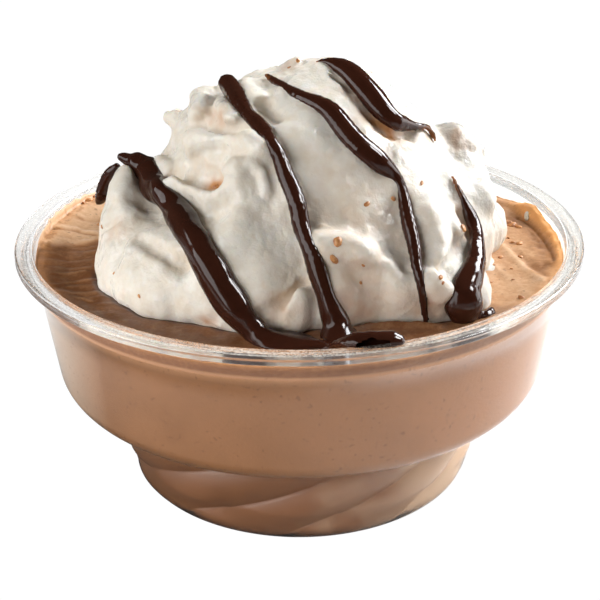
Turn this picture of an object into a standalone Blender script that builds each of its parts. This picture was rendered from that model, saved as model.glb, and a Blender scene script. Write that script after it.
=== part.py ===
"""Pot de creme in a clear footed dessert cup, with whipped cream and sauce drizzles.

Three solids: the cup, the set creme that fills it, and the whipped cream mound
with thick sauce drizzles fused to it. Metres, +Z up, origin at the centre
of the foot's base. Sizes below are in millimetres and scaled once by MM.
"""
import math

import bmesh
import bpy
import numpy as np
from mathutils import Vector

MM = 0.001

# ---- driving dimensions, millimetres ---------------------------------------
CUP_HEIGHT = 45.3
RIM_RADIUS = 50.0          # outer edge of the flange
RIM_LIP = 1.4              # height of the flange's outer edge
MOUTH_RADIUS = 47.0        # inner edge of the flange
WALL = 0.8
FOOT_RADIUS = 33.0         # widest part of the foot
BASE_RADIUS = 31.8         # foot at the table
FOOT_HEIGHT = 16.2         # where the foot meets the bowl
BOWL_CORNER = (43.9, 20.4)     # radius and height of the bowl's lower corner
BOWL_CORNER_ROUND = 4.2
SHOULDER = (46.5, 39.6)    # radius and height of the bead under the flange
SHOULDER_BEAD = 0.45

SEGMENTS = 60
FLUTES = 10
FLUTE_DEPTH = 1.1
FLUTE_TWIST = 4.4          # degrees a flute turns for each millimetre of height
FLUTE_PHASE = 6.0          # angle of one crease where the foot meets the bowl

GAP = 0.35                 # between neighbouring solids
CREME_LEVEL = 4.4          # below the rim's top
CREME_EDGE_RISE = 1.1      # how much the creme climbs at the wall

MOUND_CENTRE = (0.0, 2.0, 4.0)
MOUND_BLEND = 2.8          # softness where dollops run together
DRIZZLE_SIDES = 10
DRIZZLE_STEP = 2.4         # spacing of a drizzle's rings
DRIZZLE_FLATNESS = 0.75    # a drizzle's height for its width

# Dollops of cream: centre, half sizes and turn about Z in degrees. Heights are
# above the rim's top.
DOLLOPS = [
    (1.8, 2.0, -3.0, 28.6, 29.5, 30.5, 0),       # body of the mound
    (4.5, 3.0, 9.0, 16.5, 17.0, 19.6, 0),        # summit
    (-6.0, 5.0, 12.0, 13.0, 12.0, 13.5, 0),      # between summit and left shoulder
    (-14.0, 4.5, 11.0, 8.0, 10.0, 12.6, 0),      # left shoulder
    (-18.6, 5.0, 3.0, 6.8, 10.0, 10.0, 0),       # left slope
    (-26.5, 2.0, 0.0, 6.5, 10.0, 9.5, 0),        # left slope, lower
    (14.6, 4.0, 8.0, 10.0, 12.0, 10.4, 0),       # right of the summit
    (27.4, 7.0, 8.0, 5.4, 8.0, 8.0, 0),          # right shoulder
    (25.0, -2.0, 0.0, 9.5, 14.0, 13.0, 0),       # right flank
    (32.8, 5.0, -2.0, 4.8, 7.0, 5.6, 0),         # right lobe
    (-18.6, -17.2, -2.0, 13.8, 11.0, 9.5, -40),  # low left dollop
    (-28.0, -5.5, -1.0, 7.4, 10.0, 9.5, 0),      # folded left edge
    (-30.3, -3.0, 5.0, 3.4, 5.5, 7.6, 0),        # its upper lobe
    (-28.8, -12.2, -3.4, 5.8, 5.6, 6.4, 0),      # and its foot
    (-8.0, -17.5, -1.0, 14.0, 15.6, 12.0, 10),   # front, left of the middle
    (5.0, -15.8, -1.5, 15.0, 16.2, 12.8, 0),     # front middle
    (17.0, -16.9, -2.2, 13.0, 13.4, 10.6, -10),  # front, right
    (24.2, -15.5, -4.2, 6.7, 11.2, 7.8, 20),     # low on the right
    (0.0, 18.0, 2.0, 22.0, 14.0, 16.0, 0),       # back
    (-17.0, 17.0, -1.0, 13.0, 12.0, 11.0, 0),    # back, left
    (18.0, 17.0, -1.0, 13.0, 12.0, 12.0, 0),     # back, right
]

# Folds laid on the mound: radius, softness and the points the middle runs through.
FOLDS = [
    # crest across the left
    (1.9, 1.6,
     [(-17.4, -8.3, 18.2), (-15.2, -9.2, 19.6), (-12.7, -10.4, 20.5), (-10.1, -12.4, 21.0),
      (-7.6, -14.8, 20.8), (-5.7, -16.8, 20.0)]),
    # crest under the dent
    (2.0, 1.5,
     [(-21.1, -10.9, 11.2), (-18.8, -12.8, 13.2), (-16.6, -15.0, 13.3), (-14.3, -17.3, 13.0),
      (-11.9, -18.6, 14.0), (-9.7, -18.6, 15.9)]),
    # panel under the second crest
    (3.2, 2.4,
     [(-8.6, -16.2, 16.2), (-8.0, -19.5, 12.0), (-9.2, -23.0, 8.0)]),
    # bulge under the ledge
    (3.4, 1.2,
     [(4.0, -27.0, 7.4), (6.9, -26.2, 7.8), (9.4, -26.4, 6.8)]),
    # small lobe
    (2.7, 1.2,
     [(0.2, -30.6, 0.6), (-0.6, -31.0, -2.6)]),
    # ridge on the right
    (1.4, 3.0,
     [(15.9, -10.9, 19.2), (18.6, -11.7, 16.0), (21.3, -12.8, 12.6), (22.1, -14.7, 9.8)]),
    # panel on the right
    (4.2, 3.0,
     [(15.9, -12.4, 13.6), (19.0, -15.2, 9.2), (20.4, -18.2, 6.2)]),
    # ridge on the far right
    (1.7, 3.6,
     [(27.1, 4.2, 14.6), (29.3, 2.5, 13.0), (30.8, -1.5, 9.6), (31.2, -6.9, 8.0)]),
    # crest low on the right
    (2.4, 2.0,
     [(20.0, -19.7, 8.4), (21.5, -22.6, 6.5), (21.9, -25.0, 4.8)]),
]

# Hollows pressed into it: radius, softness and the points the middle runs through.
HOLLOWS = [
    # above the crest
    (1.5, 1.6,
     [(-16.1, -5.3, 20.6), (-13.2, -9.2, 21.1), (-9.1, -11.9, 22.2)]),
    # the dent
    (2.1, 1.4,
     [(-17.0, -13.5, 14.9), (-14.7, -15.6, 14.9), (-12.8, -17.2, 14.7)]),
    # beside the left drizzle
    (1.4, 1.6,
     [(-20.4, -9.9, 13.5), (-19.2, -10.5, 15.0)]),
    # the ledge
    (2.0, 3.0,
     [(2.8, -25.8, 13.4), (5.6, -26.2, 12.8), (8.4, -26.2, 12.2), (11.1, -25.8, 11.2),
      (13.5, -25.6, 9.6), (15.3, -26.2, 7.6), (16.6, -27.2, 5.8)]),
    # between the low bulges
    (2.0, 2.0,
     [(9.6, -30.9, 4.2), (11.3, -31.4, 1.5), (11.6, -31.6, -1.6)]),
    # under the lip on the right
    (1.35, 1.0,
     [(27.3, -14.6, 6.9), (27.9, -16.9, 5.9)]),
    # diagonal hollow on the right
    (1.85, 1.4,
     [(27.8, -20.9, 4.9), (25.6, -24.7, 4.4), (23.5, -27.6, 3.6)]),
    # under the back drizzle
    (1.55, 1.2,
     [(12.4, -8.4, 23.7), (13.6, -10.5, 22.1), (15.7, -10.7, 20.6), (18.8, -8.0, 19.4)]),
]

# Drizzles: points along each, with the half width there.
DRIZZLES = {
    "left": [(-29.8, 1.5, 12.1, 1.6), (-28.2, 1.0, 12.3, 2.1), (-26.9, -0.6, 11.7, 2.5),
             (-25.7, -3.4, 10.8, 2.6), (-24.6, -6.6, 10.3, 2.7), (-22.5, -12.1, 10.5, 2.5),
             (-20.5, -15.4, 9.7, 2.5), (-18.9, -19.4, 9.3, 2.6), (-17.3, -23.7, 8.5, 2.4),
             (-15.9, -26.5, 7.5, 2.4), (-14.8, -28.8, 6.3, 2.6), (-13.7, -30.3, 4.5, 2.8),
             (-12.6, -31.5, 3.0, 2.7), (-11.3, -32.5, 1.2, 2.8), (-10.0, -33.3, -0.7, 2.7),
             (-8.1, -34.2, -2.8, 2.3), (-5.0, -35.9, -3.9, 1.9), (-1.6, -36.7, -4.3, 1.4),
             (1.2, -37.0, -4.4, 1.0), (3.6, -37.6, -4.4, 0.6)],
    "left behind": [(-29.8, 1.5, 12.8, 0.9), (-31.3, 1.5, 12.6, 1.0), (-32.7, 2.5, 10.6, 1.1),
                    (-33.9, 4.0, 8.3, 1.1), (-35.0, 5.0, 5.7, 1.1), (-36.2, 6.0, 3.2, 0.8)],
    "middle left": [(-12.6, 2.0, 26.3, 1.5), (-11.6, 0.2, 25.6, 1.8), (-9.9, -5.3, 24.7, 1.7),
                    (-8.2, -8.9, 23.9, 1.3), (-6.6, -11.9, 23.2, 1.4), (-5.2, -14.8, 22.5, 1.4),
                    (-4.1, -17.4, 21.7, 1.2), (-3.3, -18.8, 20.3, 1.3), (-2.6, -19.8, 18.8, 1.3),
                    (-1.8, -21.1, 17.0, 1.4), (-0.9, -22.8, 15.3, 1.5), (-0.3, -24.5, 13.6, 1.5),
                    (0.2, -25.7, 11.6, 1.5), (0.8, -27.2, 9.5, 1.5), (1.7, -29.0, 7.4, 1.6),
                    (2.6, -30.4, 5.3, 1.6), (3.2, -31.4, 3.2, 1.6), (4.0, -32.3, 1.1, 1.6),
                    (4.8, -33.0, -0.8, 1.9), (5.8, -33.6, -2.9, 2.1), (6.2, -36.0, -4.0, 1.4)],
    "end on the rim": [(4.8, -38.6, -4.1, 1.0), (5.6, -42.4, -1.6, 1.0), (6.8, -44.6, -0.1, 1.3),
                       (8.5, -45.4, 0.6, 1.6), (10.3, -45.7, 0.8, 1.7), (12.0, -45.6, 0.8, 1.6),
                       (13.4, -45.4, 0.8, 1.5), (14.5, -45.5, 0.6, 1.2)],
    "middle right": [(-5.3, 3.0, 27.0, 0.5), (-3.3, -0.8, 26.6, 0.8), (-0.4, -6.0, 26.2, 1.1),
                     (3.0, -9.4, 25.7, 1.5), (5.2, -11.5, 24.9, 1.8), (6.7, -13.2, 23.6, 1.9),
                     (8.3, -14.9, 22.1, 1.9), (10.1, -16.6, 20.6, 1.9), (12.0, -17.1, 19.1, 1.9),
                     (13.5, -17.3, 17.6, 1.7), (15.2, -17.2, 16.0, 1.2), (16.2, -17.9, 14.3, 1.1),
                     (16.8, -19.2, 12.5, 1.1), (17.1, -21.1, 10.8, 1.2), (17.6, -23.3, 9.0, 1.3),
                     (18.1, -25.2, 7.2, 1.2), (18.2, -27.4, 5.7, 1.0), (18.6, -29.3, 4.1, 0.9),
                     (19.0, -30.5, 2.2, 0.8), (19.4, -30.7, 0.0, 0.7), (19.7, -30.6, -2.3, 0.6),
                     (20.0, -30.6, -4.3, 0.4)],
    "back": [(3.3, 2.8, 29.1, 0.4), (5.2, 1.9, 29.5, 1.0), (7.4, 0.5, 29.2, 1.8),
             (9.3, -1.6, 28.4, 2.1), (10.7, -3.5, 27.2, 2.3), (12.0, -5.4, 25.9, 2.3),
             (13.4, -6.9, 24.5, 2.2), (14.9, -8.0, 23.1, 2.0), (16.5, -8.0, 22.0, 1.7),
             (18.5, -6.8, 20.9, 1.0), (20.3, -5.6, 20.4, 0.65), (22.0, -4.0, 19.6, 0.55),
             (22.9, -3.9, 18.3, 0.55), (23.3, -4.4, 17.4, 0.4)],
    "right": [(25.7, -9.2, 12.7, 0.3), (26.5, -10.5, 11.1, 0.5), (27.4, -11.5, 9.4, 0.7),
              (28.1, -12.4, 7.8, 1.0), (28.9, -13.4, 6.1, 1.3), (29.3, -15.4, 4.8, 1.4),
              (28.9, -19.0, 3.9, 1.4), (28.3, -22.3, 3.0, 1.5), (27.4, -25.0, 2.0, 1.9),
              (26.6, -27.0, 1.0, 2.3), (25.9, -28.5, -0.3, 2.7), (25.7, -29.2, -1.9, 2.9),
              (26.2, -29.2, -3.5, 2.4)],
    "hook": [(26.8, -28.8, -4.3, 1.2), (28.5, -28.1, -4.3, 0.8), (29.8, -28.0, -4.2, 0.6),
             (30.7, -27.0, -4.1, 0.5), (30.9, -26.1, -4.1, 0.4)],
}


# ---- small helpers ----------------------------------------------------------
def clear_scene():
    for thing in list(bpy.data.objects):
        bpy.data.objects.remove(thing, do_unlink=True)


def finish_material(name, colour, roughness, alpha=1.0):
    material = bpy.data.materials.new(name)
    material.use_nodes = True
    shader = material.node_tree.nodes["Principled BSDF"]
    shader.inputs["Base Color"].default_value = (*colour, 1.0)
    shader.inputs["Roughness"].default_value = roughness
    shader.inputs["Metallic"].default_value = 0.0
    shader.inputs["Alpha"].default_value = alpha
    return material


def add_object(name, bm, materials):
    """Make the closed mesh in bm a named object with its finishes."""
    bmesh.ops.triangulate(bm, faces=bm.faces)
    bmesh.ops.recalc_face_normals(bm, faces=bm.faces)
    mesh = bpy.data.meshes.new(name)
    bm.to_mesh(mesh)
    bm.free()
    mesh.shade_smooth()
    mesh.set_sharp_from_angle(angle=math.radians(35))
    for material in materials:
        mesh.materials.append(material)
    thing = bpy.data.objects.new(name, mesh)
    bpy.context.scene.collection.objects.link(thing)
    return thing


def rounded(corners, steps):
    """A polyline through corners (r, z, fillet), each fillet drawn as an arc of steps."""
    points = []
    for index, (r, z, fillet) in enumerate(corners):
        here = Vector((r, z))
        if fillet == 0.0:
            points.append((r, z))
            continue
        back = (Vector(corners[index - 1][:2]) - here).normalized()
        ahead = (Vector(corners[index + 1][:2]) - here).normalized()
        half = back.angle(ahead) / 2
        reach = fillet / math.tan(half)
        centre = here + (back + ahead).normalized() * (fillet / math.sin(half))
        start = here + back * reach - centre
        turn = (here + ahead * reach - centre).angle_signed(start)
        for step in range(steps + 1):
            angle = turn * step / steps
            cos, sin = math.cos(angle), math.sin(angle)
            spoke = Vector((start.x * cos - start.y * sin, start.x * sin + start.y * cos))
            points.append(tuple(centre + spoke))
    return points


# ---- the cup ----------------------------------------------------------------
def flute(angle, z):
    """How far the twisted flutes push the foot's wall out at this column and height."""
    rise = min(max((z - 0.6) / 3.0, 0.0), 1.0)
    fall = min(max((FOOT_HEIGHT + 0.6 - z) / 1.2, 0.0), 1.0)
    phase = math.pi * (angle - FLUTE_PHASE) * FLUTES / 360.0
    return FLUTE_DEPTH * (abs(math.sin(phase)) ** 0.8 - 0.75) * rise * fall


def ring(bm, r, z, fluted):
    """One ring of vertices; its columns follow the flutes' twist below the bowl."""
    twist = FLUTE_TWIST * (min(z, FOOT_HEIGHT) - FOOT_HEIGHT)
    verts = []
    for column in range(SEGMENTS):
        angle = 360.0 * column / SEGMENTS
        radius = r + (flute(angle, z) if fluted else 0.0)
        turned = math.radians(angle + twist)
        place = Vector((radius * math.cos(turned), radius * math.sin(turned), z))
        verts.append(bm.verts.new(place * MM))
    return verts


def skin(bm, rings):
    """Quads between rings that follow each other."""
    for low, high in zip(rings, rings[1:]):
        for column in range(SEGMENTS):
            nxt = (column + 1) % SEGMENTS
            bm.faces.new((low[column], low[nxt], high[nxt], high[column]))


def foot_outline(inset):
    """The foot's wall from its base edge up to the bowl, moved in by inset."""
    edge = 2.2
    corners = [(BASE_RADIUS - 5.0, inset, 0.0),
               (BASE_RADIUS - inset, inset, edge),
               (BASE_RADIUS - inset + 0.35, 5.0, 0.0)]
    low = rounded(corners, 3)[1:]
    heights = (7.6, 10.2, 12.8, 15.0)
    spread = FOOT_RADIUS - BASE_RADIUS
    high = []
    for z in heights:
        part = math.sin(math.pi / 2 * min(z / 12.0, 1.0))
        high.append((BASE_RADIUS - inset + spread * part, z))
    return low + high


def bowl_outline(inset):
    """The bowl's wall from the top of the foot to the flange, moved in by inset."""
    corner_r, corner_z = BOWL_CORNER
    shoulder_r, shoulder_z = SHOULDER
    rise = inset * 0.9
    corners = [(FOOT_RADIUS - inset, FOOT_HEIGHT + rise, 0.0),
               (corner_r - inset, corner_z + rise, BOWL_CORNER_ROUND - inset),
               (shoulder_r - inset, shoulder_z, 0.0)]
    outline = rounded(corners, 5)
    middle = Vector(outline[-2]).lerp(Vector(outline[-1]), 0.5)
    outline.insert(-1, tuple(middle))
    return outline


def inner_outline(inset):
    """The cup's inside from the foot's floor to the mouth; the creme follows it."""
    top = CUP_HEIGHT - 0.3
    mouth = MOUTH_RADIUS - (inset - WALL)
    return foot_outline(inset) + bowl_outline(inset) + [(mouth - 0.35, top - 3.2), (mouth, top)]


def build_cup():
    under = CUP_HEIGHT - RIM_LIP
    shoulder_r, shoulder_z = SHOULDER
    outer = foot_outline(0.0) + bowl_outline(0.0)
    outer += [(shoulder_r + SHOULDER_BEAD, shoulder_z + 0.35),
              (shoulder_r + SHOULDER_BEAD, shoulder_z + 0.9),
              (shoulder_r + 0.35, shoulder_z + 1.4),
              (MOUTH_RADIUS + 0.75, under),
              (RIM_RADIUS - 0.7, under),
              (RIM_RADIUS, under + 0.4),
              (RIM_RADIUS, CUP_HEIGHT - 0.5),
              (RIM_RADIUS - 0.5, CUP_HEIGHT),
              (MOUTH_RADIUS + 0.3, CUP_HEIGHT)]
    inner = inner_outline(WALL)
    bm = bmesh.new()
    rings = [ring(bm, r, z, z < FOOT_HEIGHT + 0.5) for r, z in outer]
    rings += [ring(bm, r, z, z < FOOT_HEIGHT + 0.5) for r, z in reversed(inner)]
    skin(bm, rings)
    bm.faces.new(list(reversed(rings[0])))
    bm.faces.new(rings[-1])
    clear = finish_material("clear_plastic", (0.93, 0.94, 0.93), 0.08, alpha=0.35)
    return add_object("cup", bm, [clear])


# ---- the creme --------------------------------------------------------------
def creme_top(r, angle):
    """Height of the creme's surface: level in the middle, climbing at the wall."""
    climb = min(max((r - 40.5) / 5.0, 0.0), 1.0)
    climb = climb * climb * (3 - 2 * climb)
    sweep = 1.0 + 0.45 * math.cos(math.radians(angle - 40.0)) + 0.2 * math.sin(math.radians(3 * angle))
    return CUP_HEIGHT - CREME_LEVEL + CREME_EDGE_RISE * climb * sweep


def build_creme():
    inset = WALL + GAP
    top = CUP_HEIGHT - CREME_LEVEL
    wall = [point for point in inner_outline(inset) if point[1] < top - 1.0]
    edge_r = MOUTH_RADIUS - GAP - 0.55
    bm = bmesh.new()
    rings = [ring(bm, r, z, z < FOOT_HEIGHT + 0.5) for r, z in wall]
    for r in (edge_r, 43.5, 40.5):
        verts = ring(bm, r, top, False)
        for column, vert in enumerate(verts):
            vert.co.z = creme_top(r, 360.0 * column / SEGMENTS) * MM
        rings.append(verts)
    skin(bm, rings)
    bm.faces.new(list(reversed(rings[0])))
    bm.faces.new(rings[-1])
    brown = finish_material("set_creme", (0.42, 0.22, 0.11), 0.45)
    return add_object("creme", bm, [brown])


# ---- whipped cream and drizzles ---------------------------------------------
def ellipsoid(points, dollop):
    """Signed distance to one dollop, near enough for blending."""
    x, y, z, rx, ry, rz, turn = dollop
    cos, sin = math.cos(math.radians(turn)), math.sin(math.radians(turn))
    offset = points - np.array([x, y, z])
    along = offset[:, 0] * cos + offset[:, 1] * sin
    across = offset[:, 1] * cos - offset[:, 0] * sin
    up = offset[:, 2]
    size = np.sqrt((along / rx) ** 2 + (across / ry) ** 2 + (up / rz) ** 2) + 1e-9
    slope = np.sqrt((along / rx**2) ** 2 + (across / ry**2) ** 2 + (up / rz**2) ** 2) + 1e-9
    return size * (size - 1) / slope


def rods(points, radius, path):
    """Distance to round rods laid end to end along a path."""
    nearest = np.full(len(points), 1e3)
    for start, end in zip(np.array(path), np.array(path[1:])):
        run = end - start
        along = np.clip((points - start) @ run / (run @ run), 0, 1)
        reach = np.linalg.norm(points - (start + along[:, None] * run), axis=1)
        nearest = np.minimum(nearest, reach - radius)
    return nearest


def join(a, b, softness):
    """Smooth union of two distances."""
    mix = np.clip(0.5 + 0.5 * (b - a) / softness, 0, 1)
    return b * (1 - mix) + a * mix - softness * mix * (1 - mix)


def cream_distance(points):
    """Distance to the cream's surface, points in millimetres about the rim's centre."""
    distance = ellipsoid(points, DOLLOPS[0])
    for dollop in DOLLOPS[1:]:
        distance = join(distance, ellipsoid(points, dollop), MOUND_BLEND)
    for radius, softness, path in FOLDS:
        distance = join(distance, rods(points, radius, path), softness)
    for radius, softness, path in HOLLOWS:
        distance = -join(-distance, rods(points, radius, path), softness)
    return distance


def march(starts, directions, reach):
    """Walk from starts along directions until the cream's surface is met."""
    travelled = np.zeros(len(starts))
    for _ in range(90):
        here = starts + directions * travelled[:, None]
        travelled += np.minimum(cream_distance(here) * 0.7, 2.0)
        travelled = np.clip(travelled, 0, reach)
    return starts + directions * travelled[:, None]


def mound_mesh():
    """A ball of triangles drawn in onto the dollops' common surface."""
    bm = bmesh.new()
    bmesh.ops.create_icosphere(bm, subdivisions=4, radius=1.0)
    rays = np.array([vert.co.normalized() for vert in bm.verts])
    centre = np.array(MOUND_CENTRE)
    surface = march(centre + rays * 60.0, -rays, 58.0)
    for vert, place in zip(bm.verts, surface):
        vert.co = (Vector(place) + Vector((0, 0, CUP_HEIGHT))) * MM
    mesh = bpy.data.meshes.new("whipped_cream")
    bm.to_mesh(mesh)
    bm.free()
    return mesh


def smooth_route(route):
    """Even points along a curve through the route's own points."""
    points = np.array(route)
    points = np.concatenate([[2 * points[0] - points[1]], points, [2 * points[-1] - points[-2]]])
    smooth = []
    for p0, p1, p2, p3 in zip(points, points[1:], points[2:], points[3:]):
        steps = max(1, round(np.linalg.norm(p2 - p1) / DRIZZLE_STEP))
        for t in np.arange(steps) / steps:
            smooth.append(0.5 * (2 * p1 + (p2 - p0) * t + (2 * p0 - 5 * p1 + 4 * p2 - p3) * t**2
                                 + (3 * p1 - p0 - 3 * p2 + p3) * t**3))
    smooth.append(points[-2])
    return np.array(smooth)


def drizzle_mesh(route):
    """A tapered, slightly flat strand along a route over the cream."""
    path = smooth_route(route)
    centres, widths = path[:, :3], path[:, 3]
    bm = bmesh.new()
    rings = []
    for index, centre in enumerate(centres):
        ahead = centres[min(index + 1, len(centres) - 1)]
        behind = centres[max(index - 1, 0)]
        tangent = Vector(ahead - behind).normalized()
        side = tangent.cross(Vector((0, 0, 1))).normalized()
        lift = side.cross(tangent)
        verts = []
        for step in range(DRIZZLE_SIDES):
            angle = 2 * math.pi * step / DRIZZLE_SIDES
            spoke = side * math.cos(angle) + lift * math.sin(angle) * DRIZZLE_FLATNESS
            place = Vector(centre) + spoke * widths[index] + Vector((0, 0, CUP_HEIGHT))
            verts.append(bm.verts.new(place * MM))
        rings.append(verts)
    for near, far in zip(rings, rings[1:]):
        for step in range(DRIZZLE_SIDES):
            nxt = (step + 1) % DRIZZLE_SIDES
            bm.faces.new((near[step], near[nxt], far[nxt], far[step]))
    for end, towards in ((rings[0], -1), (rings[-1], 1)):
        middle = sum((vert.co for vert in end), Vector()) / DRIZZLE_SIDES
        which = 0 if towards < 0 else -1
        step_out = Vector(centres[which] - centres[which - towards]).normalized()
        tip = bm.verts.new(middle + step_out * widths[which] * 0.6 * MM)
        for step in range(DRIZZLE_SIDES):
            nxt = (step + 1) % DRIZZLE_SIDES
            bm.faces.new((end[step], end[nxt], tip))
    bmesh.ops.triangulate(bm, faces=bm.faces)
    bmesh.ops.recalc_face_normals(bm, faces=bm.faces)
    mesh = bpy.data.meshes.new("drizzle")
    bm.to_mesh(mesh)
    bm.free()
    return mesh


def clearance_mesh():
    """The space the creme and the cup take, grown by the gap, which the cream stays out of."""
    base = CUP_HEIGHT - CREME_LEVEL + GAP
    wall_r = MOUTH_RADIUS - GAP - 0.1
    profile = [(40.0, base), (wall_r, base + 1.9), (wall_r, CUP_HEIGHT + GAP),
               (RIM_RADIUS + 8.0, CUP_HEIGHT + GAP)]
    bm = bmesh.new()
    rings = []
    for r, z in [(RIM_RADIUS + 8.0, CUP_HEIGHT - 45.0), *reversed(profile)]:
        rings.append(ring(bm, r, z, False))
    skin(bm, rings)
    bm.faces.new(list(reversed(rings[0])))
    bm.faces.new(rings[-1])
    bmesh.ops.recalc_face_normals(bm, faces=bm.faces)
    mesh = bpy.data.meshes.new("clearance")
    bm.to_mesh(mesh)
    bm.free()
    return mesh


def apply_boolean(thing, operation, **operand):
    """Add an exact Boolean to thing and bake it into its mesh."""
    modifier = thing.modifiers.new(operation.title(), "BOOLEAN")
    modifier.solver = "EXACT"
    modifier.operation = operation
    modifier.material_mode = "TRANSFER"
    for key, value in operand.items():
        setattr(modifier, key, value)
    graph = bpy.context.evaluated_depsgraph_get()
    mesh = bpy.data.meshes.new_from_object(thing.evaluated_get(graph))
    thing.modifiers.remove(modifier)
    thing.data = mesh


def keep_main_body(mesh):
    """Tidy the cut mesh and drop loose scraps, keeping the largest body."""
    bm = bmesh.new()
    bm.from_mesh(mesh)
    bmesh.ops.triangulate(bm, faces=bm.faces)
    bmesh.ops.dissolve_degenerate(bm, dist=1e-5, edges=bm.edges)
    bmesh.ops.triangulate(bm, faces=bm.faces)
    left = set(bm.verts)
    bodies = []
    while left:
        stack = [left.pop()]
        body = set(stack)
        while stack:
            for edge in stack.pop().link_edges:
                for vert in edge.verts:
                    if vert in left:
                        left.discard(vert)
                        body.add(vert)
                        stack.append(vert)
        bodies.append(body)
    bodies.sort(key=len)
    scraps = [vert for body in bodies[:-1] for vert in body]
    bmesh.ops.delete(bm, geom=scraps, context="VERTS")
    bm.to_mesh(mesh)
    bm.free()


def build_whipped_cream():
    white = finish_material("whipped_cream", (0.85, 0.82, 0.75), 0.5)
    sauce = finish_material("sauce", (0.035, 0.012, 0.008), 0.12)
    mesh = mound_mesh()
    mesh.materials.append(white)
    cream = bpy.data.objects.new("whipped_cream", mesh)
    bpy.context.scene.collection.objects.link(cream)

    drizzles = bpy.data.collections.new("drizzles")
    bpy.context.scene.collection.children.link(drizzles)
    for name, route in DRIZZLES.items():
        strip = drizzle_mesh(route)
        strip.materials.append(sauce)
        drizzles.objects.link(bpy.data.objects.new("drizzle_" + name.replace(" ", "_"), strip))
    apply_boolean(cream, "UNION", operand_type="COLLECTION", collection=drizzles, use_self=True)
    for strip in list(drizzles.objects):
        bpy.data.objects.remove(strip, do_unlink=True)
    bpy.data.collections.remove(drizzles)

    cutter = bpy.data.objects.new("clearance", clearance_mesh())
    bpy.context.scene.collection.objects.link(cutter)
    apply_boolean(cream, "DIFFERENCE", operand_type="OBJECT", object=cutter)
    bpy.data.objects.remove(cutter, do_unlink=True)

    keep_main_body(cream.data)
    cream.data.shade_smooth()
    return cream


clear_scene()
build_cup()
build_creme()
build_whipped_cream()
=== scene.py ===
# %% [markdown]
# # A pot de creme in a clear footed cup
#
# The object is a single-serve dessert. A clear moulded cup with a twisted, fluted foot is full of
# set chocolate creme. On it sits a rough mound of whipped cream with thick dark drizzles.
#
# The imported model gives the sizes, the places and the solids. This script dresses them: it builds
# finer meshes of the same forms, each from the same few named sizes as the solids, and gives each
# one a finish that is worked out in nodes.

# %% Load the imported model
import math

import bmesh
import bpy
import numpy as np
from mathutils import Matrix, Vector
from mathutils.kdtree import KDTree


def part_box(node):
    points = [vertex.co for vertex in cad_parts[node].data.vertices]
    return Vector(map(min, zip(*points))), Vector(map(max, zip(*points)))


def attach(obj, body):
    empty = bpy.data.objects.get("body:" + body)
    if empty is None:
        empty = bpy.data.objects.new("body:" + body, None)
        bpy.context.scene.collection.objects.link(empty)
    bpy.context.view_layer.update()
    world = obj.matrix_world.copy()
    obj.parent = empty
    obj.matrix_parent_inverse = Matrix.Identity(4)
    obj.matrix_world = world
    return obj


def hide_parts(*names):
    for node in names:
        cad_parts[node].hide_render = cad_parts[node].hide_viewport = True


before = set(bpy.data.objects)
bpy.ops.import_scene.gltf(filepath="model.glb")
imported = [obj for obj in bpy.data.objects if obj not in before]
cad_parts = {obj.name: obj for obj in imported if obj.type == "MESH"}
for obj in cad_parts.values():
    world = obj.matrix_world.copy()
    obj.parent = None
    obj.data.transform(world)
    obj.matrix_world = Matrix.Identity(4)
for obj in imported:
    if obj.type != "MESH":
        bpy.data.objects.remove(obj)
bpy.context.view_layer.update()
MM = 0.001
print("solids:", ", ".join(sorted(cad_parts)))

# %% [markdown]
# ## Sizes
#
# Everything is worked out in millimetres about the centre of the cup's rim, because the creme, the
# cream and the drizzles are all placed from there. The rim's radius and height come from the packed
# cup, so the dressed pieces can't drift from it. The other sizes are those that the solids use.

# %% Sizes of the cup and the filling
_, cup_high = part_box("cup")
CUP_HEIGHT = float(cup_high[2]) / MM
RIM_RADIUS = float(cup_high[0]) / MM
RIM_LIP = 1.4
FLANGE_WIDTH = 3.0
MOUTH_RADIUS = RIM_RADIUS - FLANGE_WIDTH
# Below the flange, the wall of the mouth runs down this far and comes in by its taper.
MOUTH_DEPTH = 3.5
MOUTH_TAPER = 0.35
MOUTH_ROUND = 0.3
WALL = 0.8
FOOT_RADIUS = 33.0
BASE_RADIUS = 31.8
FOOT_HEIGHT = 16.2
BOWL_CORNER = (43.9, 20.4)
BOWL_CORNER_ROUND = 4.2
SHOULDER = (46.5, 39.6)
SHOULDER_BEAD = 0.45
CREME_LEVEL = 4.4
CREME_EDGE_RISE = 1.1
print("rim radius", RIM_RADIUS, "mm, cup height", round(CUP_HEIGHT, 2), "mm")

# %% [markdown]
# ## The camera
#
# The rim is a circle, so the shape of its ellipse in the picture tells how far above it the camera
# stands, and how much wider its near half looks tells the distance. Both were measured on the rim,
# and the lens then follows from the rim's width in the picture. The camera looks down at the middle
# of the frame, so no shift is needed.

# %% Camera
# Millimetres and degrees.
CAMERA_DISTANCE = 225.0
CAMERA_ELEVATION = 22.1
CAMERA_SIDE = 0.04
LOOK_DOWN = 25.43
CAMERA_ROLL = -0.53
FOCAL_LENGTH = 75.33
SENSOR_WIDTH = 36.0


def add_object(name, data):
    thing = bpy.data.objects.new(name, data)
    bpy.context.scene.collection.objects.link(thing)
    return thing


camera = add_object("camera", bpy.data.cameras.new("camera"))
camera.data.lens = FOCAL_LENGTH
camera.data.sensor_width = SENSOR_WIDTH
rise = math.radians(CAMERA_ELEVATION)
eye = Vector((CAMERA_SIDE, -CAMERA_DISTANCE * math.cos(rise),
              CUP_HEIGHT + CAMERA_DISTANCE * math.sin(rise)))
tilt = Matrix.Rotation(math.radians(90.0 - LOOK_DOWN), 4, "X")
roll = Matrix.Rotation(math.radians(CAMERA_ROLL), 4, "Z")
camera.matrix_world = Matrix.Translation(eye * MM) @ tilt @ roll
bpy.context.scene.camera = camera
print("camera", [round(value, 1) for value in eye], "mm")

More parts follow.
